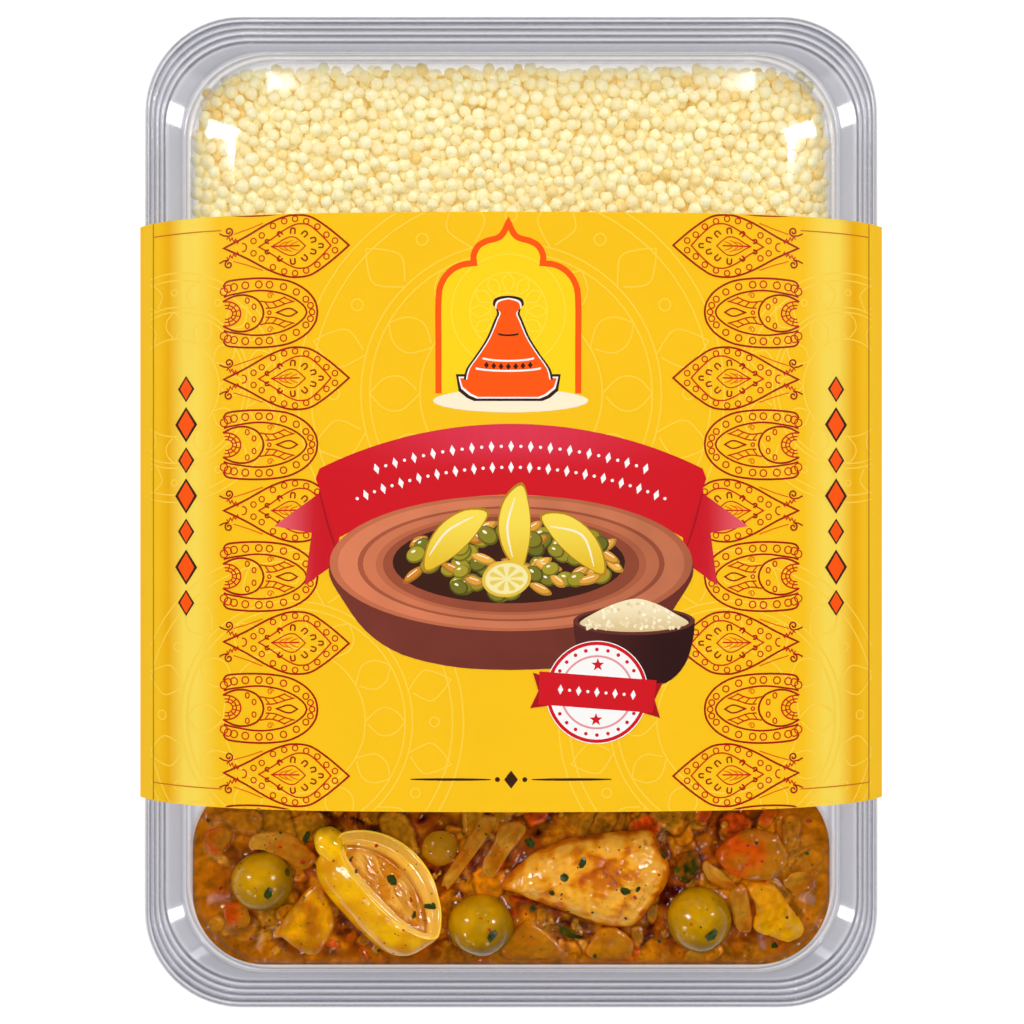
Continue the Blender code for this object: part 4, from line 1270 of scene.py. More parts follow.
# ---- Sauce -------------------------------------------------------------------
# Tomato, onion and oil cooked down to a thick glossy sauce. Softened scraps of
# onion, tomato and carrot lie just under its skin, lift it and colour it.
SAUCE_LEVEL = RIM_Z - 0.0050
SAUCE_COLUMNS = 430
SAUCE_ROWS = 130
MENISCUS_RISE = 0.0011      # the sauce climbs this far up the food
MENISCUS_REACH = 0.0008
WALL_RISE = 0.0012          # and this far up the plastic
WALL_REACH = 0.0007
CALM_REACH = 0.0020         # its skin is flat within this distance of the food
WALL_HIGHLIGHT_REACH = 0.0016          # width of the painted highlight along the wall
HOLLOW = 0.0007             # depth at which the painted shade of the hollows is darkest
# painted shade and light: the sauce is darker in hollows and lighter where raised, by this share
PAINTED_RELIEF_SHADE = 0.22
COLOUR_SPREAD = 1.25
# Kinds of scrap: colour, how many, shortest and longest, narrowest and widest share
# of the length, and lowest and highest top over the sauce.
SCRAPS = (
    ((0.48, 0.170, 0.003), 90, 0.0045, 0.0140, 0.30, 0.65, -0.0010, 0.0012),
    ((0.66, 0.290, 0.018), 36, 0.0030, 0.0090, 0.30, 0.60, -0.0006, 0.0014),
    ((0.70, 0.205, 0.001), 56, 0.0030, 0.0085, 0.45, 0.90, -0.0008, 0.0014),
    ((0.66, 0.060, 0.001), 46, 0.0025, 0.0085, 0.45, 0.90, -0.0006, 0.0012),
    ((0.09, 0.010, 0.001), 50, 0.0022, 0.0070, 0.15, 0.45, -0.0003, 0.0004),
    ((0.74, 0.310, 0.010), 110, 0.0008, 0.0020, 0.50, 1.00, 0.0000, 0.0006),
)
SAUCE_COLOUR = (0.40, 0.072, 0.0005)
SAUCE_DARK = (0.12, 0.014, 0.0005)
SAUCE_BRIGHT = (0.72, 0.215, 0.001)


def food_skin_group():
    """Fine relief and mottling of wet food, from a position."""
    group = bpy.data.node_groups.new("food_skin", "ShaderNodeTree")
    for name, way, kind in (("Vector", "INPUT", "Vector"), ("Scale", "INPUT", "Float"),
                            ("Depth", "INPUT", "Float"), ("Mottle", "OUTPUT", "Float"),
                            ("Normal", "OUTPUT", "Vector")):
        group.interface.new_socket(name, in_out=way, socket_type=f"NodeSocket{kind}")
    given = add_node(group, "NodeGroupInput").outputs
    coarse = add_node(group, "ShaderNodeTexNoise", {"Detail": 2.5, "Roughness": 0.5, "Distortion": 0.4,
                                                    "Vector": given["Vector"], "Scale": given["Scale"]})
    fine = add_node(group, "ShaderNodeTexNoise", {"Scale": 850.0, "Detail": 1.0, "Vector": given["Vector"]})
    patches = add_node(group, "ShaderNodeTexNoise", {"Scale": 240.0, "Vector": given["Vector"]})
    rough = add_node(group, "ShaderNodeMapRange", {"From Min": 0.46, "From Max": 0.62, "To Max": 1.8,
                                                   "Value": patches.outputs["Fac"]})
    relief = add_node(group, "ShaderNodeMath", {0: fine.outputs["Fac"], 1: rough.outputs["Result"],
                                                2: coarse.outputs["Fac"]}, operation="MULTIPLY_ADD")
    bump = add_node(group, "ShaderNodeBump", {"Strength": 1.0, "Distance": given["Depth"],
                                              "Height": relief.outputs[0]})
    add_node(group, "NodeGroupOutput", {"Mottle": coarse.outputs["Fac"], "Normal": bump.outputs["Normal"]})
    return group


FOOD_SKIN = food_skin_group()


def wet_food(name, scale, depth, roughness, dark=0.80, light=1.15, glow=0.0, specular=0.65):
    """Wet food: its colour is the tint attribute, mottled, and its skin is broken into
    small glints. Glow stands for the light that spreads inside it."""
    material, tree, shader = shaded(name, {"Roughness": roughness, "Specular IOR Level": specular,
                                           "Emission Strength": glow})
    place = add_node(tree, "ShaderNodeTexCoord").outputs["Object"]
    skin = add_node(tree, "ShaderNodeGroup", node_tree=FOOD_SKIN)
    set_inputs(skin, {"Scale": scale, "Depth": depth, "Vector": place})
    tint = add_node(tree, "ShaderNodeAttribute", attribute_name="tint")
    spread = add_node(tree, "ShaderNodeMapRange", {"From Min": 0.3, "From Max": 0.7, "To Min": dark,
                                                   "To Max": light, "Value": skin.outputs["Mottle"]})
    colour = tinted(tree, tint.outputs["Color"], spread.outputs["Result"])
    set_inputs(shader, {"Normal": skin.outputs["Normal"], "Base Color": colour, "Emission Color": colour})
    return material


def set_tint(piece, colour_at):
    """Store the colour of each vertex, from its place and normal."""
    layer = piece.data.color_attributes.new("tint", "FLOAT_COLOR", "POINT")
    for vert, item in zip(piece.data.vertices, layer.data):
        item.color = (*colour_at(vert.co, vert.normal), 1.0)


def search_tree(meshes):
    """A search tree over some meshes, which all lie at the origin."""
    bm = bmesh.new()
    for mesh in meshes:
        bm.from_mesh(mesh)
    tree = BVHTree.FromBMesh(bm)
    bm.free()
    return tree


def noise_field(x, y, scale, seed=0.0):
    return np.array([noise(Vector((a * scale, b * scale, seed))) for a, b in zip(x, y)])


def blend_colours(first, second, share):
    share = np.clip(share, 0.0, 1.0)[:, None]
    return first + (np.asarray(second) - first) * share


def soft_clip(value):
    value = np.clip(value, 0.0, 1.0)
    return value * value * (3 - 2 * value)


def sauce_skin(x, y, draw, solids):
    """Heights and colours of the sauce's skin, over arrays of places."""
    shade = 0.5 + 0.9 * noise_field(x, y, 130) + 0.45 * noise_field(x, y, 420, 3.0)
    colour = blend_colours(np.tile(SAUCE_DARK, (len(x), 1)), SAUCE_COLOUR, soft_clip(shade * 2))
    colour = blend_colours(colour, SAUCE_BRIGHT, soft_clip(shade * 2 - 1))
    liquid = SAUCE_LEVEL + 0.00038 * noise_field(x, y, 330, 1.0) + 0.00014 * noise_field(x, y, 900, 2.0)
    height = liquid.copy()
    wobble = noise_field(x, y, 420, 5.0) + 0.5 * noise_field(x, y, 1100, 6.0)
    veins = noise_field(x, y, 900, 8.0)
    low_y, high_y = STEW_WELL
    scraps = []
    for scrap_colour, count, shortest, longest, narrow, wide, low, high in SCRAPS:
        for number in range(count):
            half = draw.uniform(shortest, longest) / 2
            scraps.append((draw.uniform(-WELL_HALF_WIDTH, WELL_HALF_WIDTH), draw.uniform(low_y, high_y),
                           half, half * draw.uniform(narrow, wide), draw.uniform(0, pi),
                           draw.uniform(low, high), draw.uniform(-0.0006, 0.0006),
                           mix(scrap_colour, SAUCE_COLOUR, draw.uniform(0.0, 0.40))))
    scraps.sort(key=lambda scrap: scrap[5])
    for centre_x, centre_y, half_length, half_width, turn, top, tilt, scrap_colour in scraps:
        near = np.flatnonzero(np.maximum(abs(x - centre_x), abs(y - centre_y)) < half_length * 1.3)
        off_x, off_y = x[near] - centre_x, y[near] - centre_y
        along = (off_x * cos(turn) + off_y * sin(turn)) / half_length
        aside = (-off_x * sin(turn) + off_y * cos(turn)) / half_width
        reach = (abs(along) ** 2.8 + abs(aside) ** 2.8) ** (1 / 2.8) + 0.16 * wobble[near]
        body = soft_clip((1.06 - reach) / 0.34)
        lift = SAUCE_LEVEL - 0.0016 + (top + 0.0016) * body + tilt * along * body
        lift += 0.00018 * veins[near] * body
        sunk = np.maximum(height[near] - lift, 0.0)
        shows = soft_clip((1.06 - reach) / 0.10) * np.exp(-sunk / 0.0006)
        # Each scrap is lighter towards its edge, a painted highlight, and streaked by the veins.
        inner = np.asarray(scrap_colour) * (0.86 + 0.50 * soft_clip((reach - 0.60) / 0.3)
                                            + 0.40 * veins[near])[:, None]
        colour[near] = blend_colours(colour[near], inner, 0.92 * shows)
        # Painted shade: a dark ring just outside each scrap, stronger where it stands over the sauce.
        rim = np.exp(-((reach - 1.10) / 0.09) ** 2) * (0.4 + 0.6 * (top > 0))
        colour[near] = blend_colours(colour[near], SAUCE_DARK, 0.65 * rim)
        height[near] = np.maximum(height[near], lift)
    distance = np.array([solids.find_nearest(Vector((a, b, SAUCE_LEVEL)))[3] for a, b in zip(x, y)])
    calm = soft_clip(distance / CALM_REACH)
    height = SAUCE_LEVEL + (height - SAUCE_LEVEL) * np.where(height > SAUCE_LEVEL, calm, 1.0)
    height += MENISCUS_RISE * np.exp(-distance / MENISCUS_REACH)
    # Painted shade: the sauce darkens close to the food.
    colour = blend_colours(colour, SAUCE_DARK, 0.70 * np.exp(-distance / 0.0010))
    return height, colour


def build_sauce(draw, solids):
    low_y, high_y = STEW_WELL
    centre_y = (low_y + high_y) / 2
    inset = (RIM_Z - SAUCE_LEVEL) * WELL_TAPER - 0.0001
    half = Vector((WELL_HALF_WIDTH - inset, (high_y - low_y) / 2 - inset))
    radius = WELL_RADIUS - inset
    bm = bmesh.new()
    tint = bm.verts.layers.float_color.new("tint")
    bmesh.ops.create_grid(bm, x_segments=SAUCE_COLUMNS, y_segments=SAUCE_ROWS, size=1.0)
    places, walls = [], []
    for vert in bm.verts:
        share = max(abs(vert.co.x), abs(vert.co.y), 1e-9)
        rim = Vector((vert.co.x / share * half.x, vert.co.y / share * half.y))
        corner = Vector((abs(rim.x), abs(rim.y))) - (half - Vector((radius, radius)))
        if corner.x > 0 and corner.y > 0:
            corner = corner.normalized() * radius + (half - Vector((radius, radius)))
            rim = Vector((copysign(corner.x, rim.x), copysign(corner.y, rim.y)))
        places.append((rim.x * share, centre_y + rim.y * share))
        walls.append((1 - share) * min(half))
    places, wall = np.array(places), np.array(walls)
    height, colour = sauce_skin(places[:, 0], places[:, 1], draw, solids)
    relief = np.clip((height - SAUCE_LEVEL) / HOLLOW, -1.0, 1.0)
    colour = np.clip(SAUCE_COLOUR + (colour - SAUCE_COLOUR) * COLOUR_SPREAD, 0.0, 1.0)
    # Painted shade in the hollows and painted light on the raised parts.
    colour *= (1.0 + PAINTED_RELIEF_SHADE * relief)[:, None]
    height = SAUCE_LEVEL + (height - SAUCE_LEVEL) * soft_clip(wall / 0.0012)
    height += WALL_RISE * np.exp(-wall / WALL_REACH)
    # Painted highlight: the sauce is brighter along the wall.
    colour = blend_colours(colour, SAUCE_BRIGHT, np.exp(-wall / WALL_HIGHLIGHT_REACH))
    for vert, place, z, shade in zip(bm.verts, places, height, colour):
        vert.co = (*place, z)
        vert[tint] = (*shade, 1.0)
    edges = [edge for edge in bm.edges if edge.is_boundary]
    steps = [(half.x, half.y, SAUCE_LEVEL)]
    for tuck, z in floor_steps(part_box("stew")[0].z - 0.0003, SAUCE_LEVEL, 30):
        steps.append((half.x - tuck, half.y - tuck, z))
    edges = ring_chain(bm, edges, centre_y, steps)
    bmesh.ops.edgeloop_fill(bm, edges=edges)
    for vert in bm.verts:
        if vert.co.z < SAUCE_LEVEL - 0.002:
            vert[tint] = (*SAUCE_COLOUR, 1.0)
    bmesh.ops.recalc_face_normals(bm, faces=bm.faces)
    glaze = wet_food("tomato_sauce", 400.0, 0.00022, 0.06, 0.62, 1.30)
    sauce = mesh_piece("sauce", bm, glaze, 0)
    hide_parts("stew")
    return sauce


FOOD_SOLIDS = search_tree([node.data for name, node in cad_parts.items()
                           if name not in ("tray", "lid", "sleeve", "couscous", "stew")])
SHOWN_FOOD = [build_sauce(random.Random(5), FOOD_SOLIDS)]


# ---- Olives ------------------------------------------------------------------
# Whole green olives, cooked soft: slightly dented ovals with a glossy skin. Painted light
# # makes it golden on top and to the upper left, painted shade darker olive low down. One is nearly under the
# sauce.
OLIVE_GOLD_PAINTED_LIGHT = (0.66, 0.320, 0.0005)
OLIVE_GREEN_PAINTED_SHADE = (0.190, 0.100, 0.0005)
OLIVE_SAUCY = (0.42, 0.16, 0.001)


def build_olive(name, seed):
    low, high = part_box(name)
    centre, half = (low + high) / 2, (high - low) / 2
    bm = bmesh.new()
    bmesh.ops.create_uvsphere(bm, u_segments=56, v_segments=40, radius=1.0)
    for vert in bm.verts:
        unit = vert.co.copy()
        dent = 1 + 0.030 * noise(unit * 1.6 + Vector((seed, 0, 0)))
        dent += 0.007 * noise(unit * 6 + Vector((0, seed, 0)))
        vert.co = centre + Vector((unit.x * half.x, unit.y * half.y, unit.z * half.z)) * dent
    olive = mesh_piece(f"{name}_skin", bm, OLIVE_SKIN, 0)
    sunk = high.z < SAUCE_LEVEL + 0.005

    def colour(place, normal):
        # Painted light and shade: lighter on top and to the upper left, darker below.
        lit = 0.50 + 0.30 * normal.y - 0.22 * normal.x + 0.35 * (normal.z - 0.5)
        lit += 0.22 * noise(place * 260) + 0.10 * noise(place * 900)
        base = mix(OLIVE_GREEN_PAINTED_SHADE, OLIVE_GOLD_PAINTED_LIGHT, smooth_step(lit))
        film = smooth_step((SAUCE_LEVEL + 0.0014 - place.z) / 0.0014)
        return mix(base, OLIVE_SAUCY, 0.75 if sunk else 0.8 * film)

    set_tint(olive, colour)
    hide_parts(name)
    return olive


OLIVE_SKIN = wet_food("olive_skin", 300.0, 0.00002, 0.14, 0.88, 1.10, specular=0.5)
for number in range(1, 5):
    SHOWN_FOOD.append(build_olive(f"olive_{number}", number * 7.3))


# ---- Lemon -------------------------------------------------------------------
# A piece of preserved lemon, squeezed into a bowed boat that leans on its side: thick
# waxy yellow rind, a band of pale pith, and pulp cooked to torn, wet flesh.
LEMON_LENGTH = 0.0328
LEMON_WIDTH = 0.0158
LEMON_BOW = 0.0024
LEMON_TURN = radians(-46.4)
LEMON_TILT = radians(-36.0)
LEMON_CENTRE = Vector((-0.0281, -0.0860, SAUCE_LEVEL + 0.0073))
LEMON_AROUND = 144
BELLY_DEPTH = 0.0060
# Share of length and of width, height, and shift of the belly: the skin's rings from
# the keel to the rim, and the rings of the cut face from there to the pulp's middle.
LEMON_HULL = ((0.05, 0.05, -0.0156, -0.0040), (0.30, 0.30, -0.0153, -0.0040), (0.72, 0.75, -0.0130, -0.0036),
              (0.92, 1.01, -0.0095, -0.0030), (0.99, 1.12, -0.0060, -0.0020),
              (1.01, 1.10, -0.0025, -0.0007), (1.00, 1.00, 0.0000, 0.0000))
LEMON_FACE = ((0.985, 0.965, 0.0000, 0.0), (0.955, 0.915, -0.0002, 0.0), (0.90, 0.80, -0.0001, -0.0003),
              (0.87, 0.68, 0.0000, -0.0006), (0.84, 0.57, -0.0009, -0.0012), (0.81, 0.52, -0.0017, -0.0012),
              (0.55, 0.38, -0.0013, -0.0010), (0.30, 0.21, -0.0009, -0.0008), (0.05, 0.04, -0.0008, -0.0008))
RIND = (0.98, 0.500, 0.0005)
RIND_SHADE_AND_PORES = (0.72, 0.270, 0.0005)
RIND_EDGE_PAINTED_HIGHLIGHT = (1.00, 0.700, 0.060)
PITH = (0.86, 0.430, 0.055)
PULP_PALE = (0.84, 0.400, 0.050)
PULP_DEEP = (0.64, 0.200, 0.002)


def lens_ring(bm, share_x, share_y, z, shift):
    """Points round a lens: pointed ends at the rim, blunt ones down the belly."""
    sharpness = 1.3 - 0.45 * min(1.0, max(0.0, -z / BELLY_DEPTH) if share_x > 0.9 or z < -0.003 else 0.0)
    ring = []
    for number in range(LEMON_AROUND):
        turn = tau * number / LEMON_AROUND
        y = LEMON_WIDTH / 2 * share_y * copysign(abs(sin(turn)) ** sharpness, sin(turn))
        y += shift + LEMON_BOW * sin(turn) ** 2
        ring.append(bm.verts.new((LEMON_LENGTH / 2 * share_x * cos(turn), y, z)))
    return ring


def rind_colour(place):
    rough = noise(place * 230)
    # Painted shade: darker towards the keel, and mottled at random.
    colour = mix(RIND, RIND_SHADE_AND_PORES, smooth_step(0.25 + 0.8 * rough - place.z * 45))
    # The pores are the rind's own darker dots.
    pore = noise(place * 1500)
    return mix(colour, RIND_SHADE_AND_PORES, 0.35 * smooth_step((pore - 0.25) / 0.2))


def pulp(place, share):
    """Lift and colour of the torn flesh: curled pale skins with orange juice between."""
    curl = 1 - abs(noise(place * 280 + Vector((0, 7, 0)))) * 2.6
    fine = 1 - abs(noise(place * 900)) * 2.4
    swell = noise(place * 150)
    lift = 0.0005 * max(curl, 0) ** 2 + 0.0002 * fine + 0.0008 * swell
    pale = smooth_step(0.75 * max(curl, 0) ** 2 + 0.35 * fine + 0.5 * swell)
    return lift * smooth_step((0.80 - share) / 0.12), mix(PULP_DEEP, PULP_PALE, pale)


def build_lemon():
    bm = bmesh.new()
    tint = bm.verts.layers.float_color.new("tint")
    hull = spline(LEMON_HULL, 5)
    face = spline(LEMON_FACE, 5)
    rings = [lens_ring(bm, *level) for level in hull + face]
    close_rings(bm, rings)
    bm.normal_update()
    for number, (ring, level) in enumerate(zip(rings, hull + face)):
        share = level[0]
        for vert in ring:
            rough = noise(vert.co * 230)
            if number < len(hull):
                vert.co += vert.normal * 0.00022 * rough
                colour = rind_colour(vert.co)
            elif share > 0.84:
                vert.co += vert.normal * 0.00020 * rough
                stripe = noise(Vector((share * 60, vert.co.x * 60, 3)))
                colour = mix(PITH, RIND, 0.14 + 0.3 * rough + 0.5 * stripe)
                # Painted highlight: a bright line along the rim's crease.
                colour = mix(colour, RIND_EDGE_PAINTED_HIGHLIGHT, smooth_step((share - 0.965) / 0.015))
                colour = mix(colour, PULP_DEEP, 0.5 * smooth_step((0.86 - share) / 0.02))
            else:
                lift, colour = pulp(vert.co, share)
                vert.co.z += lift
                # Painted shade: darker in the groove at the pulp's edge.
                colour = mix(colour, SAUCE_DARK, 0.35 * smooth_step((share - 0.79) / 0.04))
            vert[tint] = (*colour, 1.0)
    # The stalk end keeps a softened knob.
    for vert in bmesh.ops.create_icosphere(bm, subdivisions=5, radius=1.0)["verts"]:
        unit = vert.co.copy()
        swell = 1 + 0.07 * noise(unit * 1.6) + 0.01 * noise(unit * 5)
        size = Vector((0.0044, 0.0035, 0.0034)) * swell
        vert.co = Vector((-0.0160, -0.0020, -0.0030)) + unit * size
        greener = smooth_step(0.35 - 0.2 * unit.x + 0.5 * unit.y + 0.6 * noise(unit * 2))
        vert[tint] = (*mix(RIND, (0.50, 0.30, 0.002), greener), 1.0)
    place = (Matrix.Translation(LEMON_CENTRE) @ Matrix.Rotation(LEMON_TURN, 4, "Z")
             @ Matrix.Rotation(LEMON_TILT, 4, "X"))
    bmesh.ops.transform(bm, matrix=place, verts=bm.verts)
    skin = wet_food("preserved_lemon", 450.0, 0.00004, 0.12, 0.94, 1.06, 0.10)
    lemon = mesh_piece("lemon_boat", bm, skin, 0)
    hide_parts("lemon_half")
    return lemon


SHOWN_FOOD.append(build_lemon())


# ---- Chicken -----------------------------------------------------------------
# A torn piece of breast: a pointed wedge with a second, narrower flake lying along
# its upper side. Fibres run along it, and sauce has stained its hollows orange.
CHICKEN_CENTRE = Vector((0.0176, -0.0859, SAUCE_LEVEL))
CHICKEN_PLAN = ((-0.0202, -0.0016), (-0.0150, 0.0042), (-0.0094, 0.0078), (-0.0030, 0.0098),
                (0.0040, 0.0108), (0.0110, 0.0114), (0.0152, 0.0114), (0.0176, 0.0080), (0.0198, 0.0026),
                (0.0186, -0.0022), (0.0150, -0.0070), (0.0120, -0.0106), (0.0080, -0.0115),
                (0.0030, -0.0108), (-0.0030, -0.0086), (-0.0100, -0.0062), (-0.0160, -0.0038))
# Flakes of meat: middle, half length and width, turn in degrees, height over sauce.
FLAKES = ((-0.0080, 0.0026, 0.0135, 0.0050, 27, 0.0060), (0.0012, -0.0046, 0.0118, 0.0056, -18, 0.0068),
          (0.0128, 0.0030, 0.0070, 0.0056, -30, 0.0066), (0.0108, -0.0064, 0.0060, 0.0044, 52, 0.0060),
          (0.0062, 0.0084, 0.0110, 0.0030, 6, 0.0054))
MEAT_PALE = (0.92, 0.420, 0.034)
MEAT_GOLD = (0.82, 0.290, 0.005)
MEAT_GLAZED = (0.64, 0.155, 0.001)
MEAT_DEEP = (0.30, 0.042, 0.001)


def chicken_top(x, y, share):
    """Height of the meat over the sauce at a place on its plan, and its colour."""
    spot = Vector((x, y, 0))
    warp_x = x + 0.0009 * noise(spot * 190)
    warp_y = y + 0.0009 * noise(spot * 190 + Vector((0, 0, 9)))
    best, second, height, grain = -1.0, -1.0, 0.0, 0.0
    for centre_x, centre_y, half_length, half_width, turn, top in FLAKES:
        c, s = cos(radians(turn)), sin(radians(turn))
        along = ((warp_x - centre_x) * c + (warp_y - centre_y) * s) / half_length
        aside = (-(warp_x - centre_x) * s + (warp_y - centre_y) * c) / half_width
        swell = 1 - (along * along + aside * aside) / 1.9
        if swell > best:
            best, second = swell, best
            height = top
            grain = (x * c + y * s, -x * s + y * c, turn)
        elif swell > second:
            second = swell
    seam = exp(-((best - second) / 0.24) ** 2) * (0.55 + 0.9 * noise(spot * 150))
    flake = max(best, 0.0)
    fibre = noise(Vector((grain[0] * 110, grain[1] * 1000, grain[2])))
    strand = noise(Vector((grain[0] * 260, grain[1] * 2300, grain[2] + 4)))
    lump = noise(spot * 260 + Vector((0, 0, 5)))
    bead = noise(spot * 640 + Vector((0, 0, 8)))
    edge = 1 - smooth_step((share - 0.78) / 0.22)
    dome = (1 - min(share, 1.0) ** 3.2) ** 0.55
    lift = height * dome * (0.76 + 0.26 * flake) - 0.0005 * seam * dome
    lift += edge * (0.00015 * fibre + 0.00005 * strand + 0.00060 * lump + 0.00030 * bead)
    glaze = 0.24 + 0.40 * seam + 0.85 * lump + 0.28 * fibre + 0.46 * bead + 0.16 * strand
    glaze += 0.8 * smooth_step((share - 0.86) / 0.14) + 0.45 * (0.55 - flake)
    # Sauce has run over the middle of the piece.
    pool = exp(-((x - 0.0040 - 0.4 * y) / 0.0062) ** 2 - ((y - 0.0016) / 0.0034) ** 2)
    glaze = min(max(glaze + 0.60 * pool, 0), 1.25)
    lift += (0.0004 + 0.0004 * abs(bead)) * pool * edge
    colour = mix(MEAT_PALE, MEAT_GOLD, smooth_step(glaze * 2.0))
    colour = mix(colour, MEAT_GLAZED, smooth_step((glaze - 0.38) / 0.40))
    colour = mix(colour, MEAT_DEEP, 0.7 * smooth_step((glaze - 0.90) / 0.40))
    red = smooth_step((noise(spot * 330 + Vector((0, 0, 20))) - 0.38) / 0.12)
    return lift, mix(colour, (0.50, 0.060, 0.002), 0.6 * red)


def build_chicken():
    plan = spline(CHICKEN_PLAN, 14, True)
    bm = bmesh.new()
    tint = bm.verts.layers.float_color.new("tint")
    under = ((0.60, -0.0100), (0.80, -0.0085), (0.93, -0.0050), (0.99, -0.0022), (1.0, -0.0006))
    over = [1.0 - 0.97 * (step / 70) for step in range(1, 71)]
    rings = []
    for share, depth in list(under) + [(share, None) for share in over]:
        ring = []
        for point in plan:
            x, y = point.x * share, point.y * share
            height, colour = (depth, MEAT_DEEP) if depth is not None else chicken_top(x, y, share)
            vert = bm.verts.new((x, y, height))
            vert[tint] = (*colour, 1.0)
            ring.append(vert)
        rings.append(ring)
    close_rings(bm, rings)
    bmesh.ops.translate(bm, verts=bm.verts, vec=CHICKEN_CENTRE)
    meat = wet_food("chicken_breast", 600.0, 0.00012, 0.11, 0.90, 1.08, 0.03)
    chicken = mesh_piece("chicken_breast_piece", bm, meat, 0)
    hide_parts("chicken_piece")
    return chicken


SHOWN_FOOD.append(build_chicken())


# ---- Chopped pieces ----------------------------------------------------------
# Onion, tomato, carrot, pepper and lemon peel, chopped by hand and softened by the
# cooking: low, uneven chunks with blunt corners, half sunk in the sauce.
# Kind: slot, colour where its blend starts and ends, the blend's direction in
# degrees, roughness, unevenness, and how strong the lines along it are.
CHOPPED_KINDS = {
    "rind": ("preserved_lemon", (0.86, 0.360, 0.001), (0.48, 0.155, 0.004), -35, 0.07, 0.00045, 0.0),
    "peel": ("preserved_lemon", (0.76, 0.290, 0.004), (0.94, 0.460, 0.001), -60, 0.07, 0.00040, 0.0),
    "onion": ("onion", (0.56, 0.240, 0.016), (0.44, 0.145, 0.003), -60, 0.06, 0.00025, 0.5),
    "tomato": ("tomato", (0.62, 0.070, 0.001), (0.50, 0.190, 0.006), -10, 0.06, 0.00055, 0.0),
    "carrot": ("carrot", (0.58, 0.195, 0.003), (0.50, 0.185, 0.008), -30, 0.06, 0.00045, 0.2),
    "pepper": ("green_pepper", (0.050, 0.058, 0.003), (0.010, 0.014, 0.001), -40, 0.08, 0.00030, 0.3),
}
# Solid, kind, height over the sauce, and the corners of the plan about the middle of
# the solid, all in millimetres.
CHOPPED = (
    ("preserved_lemon_cube", "rind", 2.6, ((2.2, 10.2), (-7.2, -1.4), (-5.2, -3.0), (-1.8, -5.6),
     (2.8, -7.1), (7.0, 0.2), (5.0, 6.8))),
    ("lemon_peel_chunk", "peel", 2.4, ((-7.2, 6.6), (-1.0, 6.9), (2.2, 2.7), (6.6, -3.8), (3.5, -7.0),
     (-1.3, -5.7), (-5.4, -3.8), (-4.9, 1.4))),
    ("carrot_cube_1", "carrot", 1.6, ((-3.4, 5.2), (-0.7, 4.6), (6.3, -1.8), (5.7, -3.8), (-0.6, -4.1),
     (-8.2, -3.7), (-9.0, -0.4), (-6.0, 3.0))),
    ("carrot_cube_2", "carrot", 1.8, ((-2.4, 3.4), (2.2, 3.7), (5.8, 0.0), (4.6, -3.4), (0.3, -3.8),
     (-5.2, -2.7), (-4.6, 0.6))),
    ("tomato_piece_1", "tomato", 2.6, ((-8.7, 0.0), (-5.0, 4.3), (-0.1, 5.8), (5.4, 4.3), (8.4, 0.0),
     (7.5, -3.6), (3.5, -6.4), (-2.6, -6.1), (-6.9, -3.6))),
    ("onion_slice_3", "onion", 1.6, ((-2.1, 4.6), (1.5, 5.3), (2.8, -4.5), (-0.3, -5.4), (-2.0, -0.9))),
    ("onion_slice_1", "onion", 1.7, ((-8.7, -0.3), (-6.9, 2.7), (1.2, 3.0), (7.3, -2.6), (6.7, -4.6),
     (4.1, -5.8), (-1.1, -2.7), (-5.8, -0.7))),
    ("onion_slice_2", "onion", 1.5, ((-3.0, 3.7), (0.1, 3.1), (5.0, -1.5), (3.7, -2.7), (-1.2, -1.0))),
    ("onion_slice_4", "onion", 1.1, ((-3.7, 0.4), (-0.6, 2.5), (3.3, 1.6), (3.3, -2.1), (0.0, -4.2),
     (-2.8, -2.1))),
    ("tomato_piece_2", "tomato", 1.8, ((-3.3, 1.4), (-0.7, 3.1), (2.5, 2.0), (2.1, -1.5), (-0.4, -3.8),
     (-3.3, -1.5))),
    ("tomato_piece_3", "tomato", 1.5, ((-4.0, 2.7), (-0.5, 4.2), (2.4, 1.5), (1.8, -1.4), (-2.2, -1.9))),
    ("pepper_piece", "pepper", 1.8, ((-3.3, -1.7), (-0.8, 2.9), (2.2, 3.2), (3.4, -0.1), (0.4, -4.4),
     (-2.1, -3.5))),
    ("pepper_strip", "pepper", 1.0, ((-6.0, 0.1), (-3.9, 0.7), (3.4, -2.0), (3.1, -3.0), (-1.5, -2.3))),
    ("onion_strip_1", "onion", 1.9, ((-6.6, -6.5), (-6.0, -8.2), (-4.0, -7.4), (5.9, 6.9), (4.2, 8.6),
     (1.8, 7.7))),
    ("onion_strip_2", "onion", 1.5, ((-4.4, -2.8), (-4.1, -6.2), (-2.0, -6.8), (1.7, -1.6), (5.7, 3.9),
     (4.1, 6.3), (-0.2, 5.7), (-2.0, 2.0))),
)
# Share of the plan and of the height, from the sunk foot to the top.
CHOPPED_LEVELS = ((0.70, -2.2), (0.90, -1.6), (1.00, -0.7), (1.00, 0.0), (0.98, 0.36), (0.93, 0.68),
                  (0.85, 0.88), (0.70, 0.98), (0.45, 1.0), (0.20, 1.0), (0.04, 1.0))
CHOPPED_MATERIALS = {}


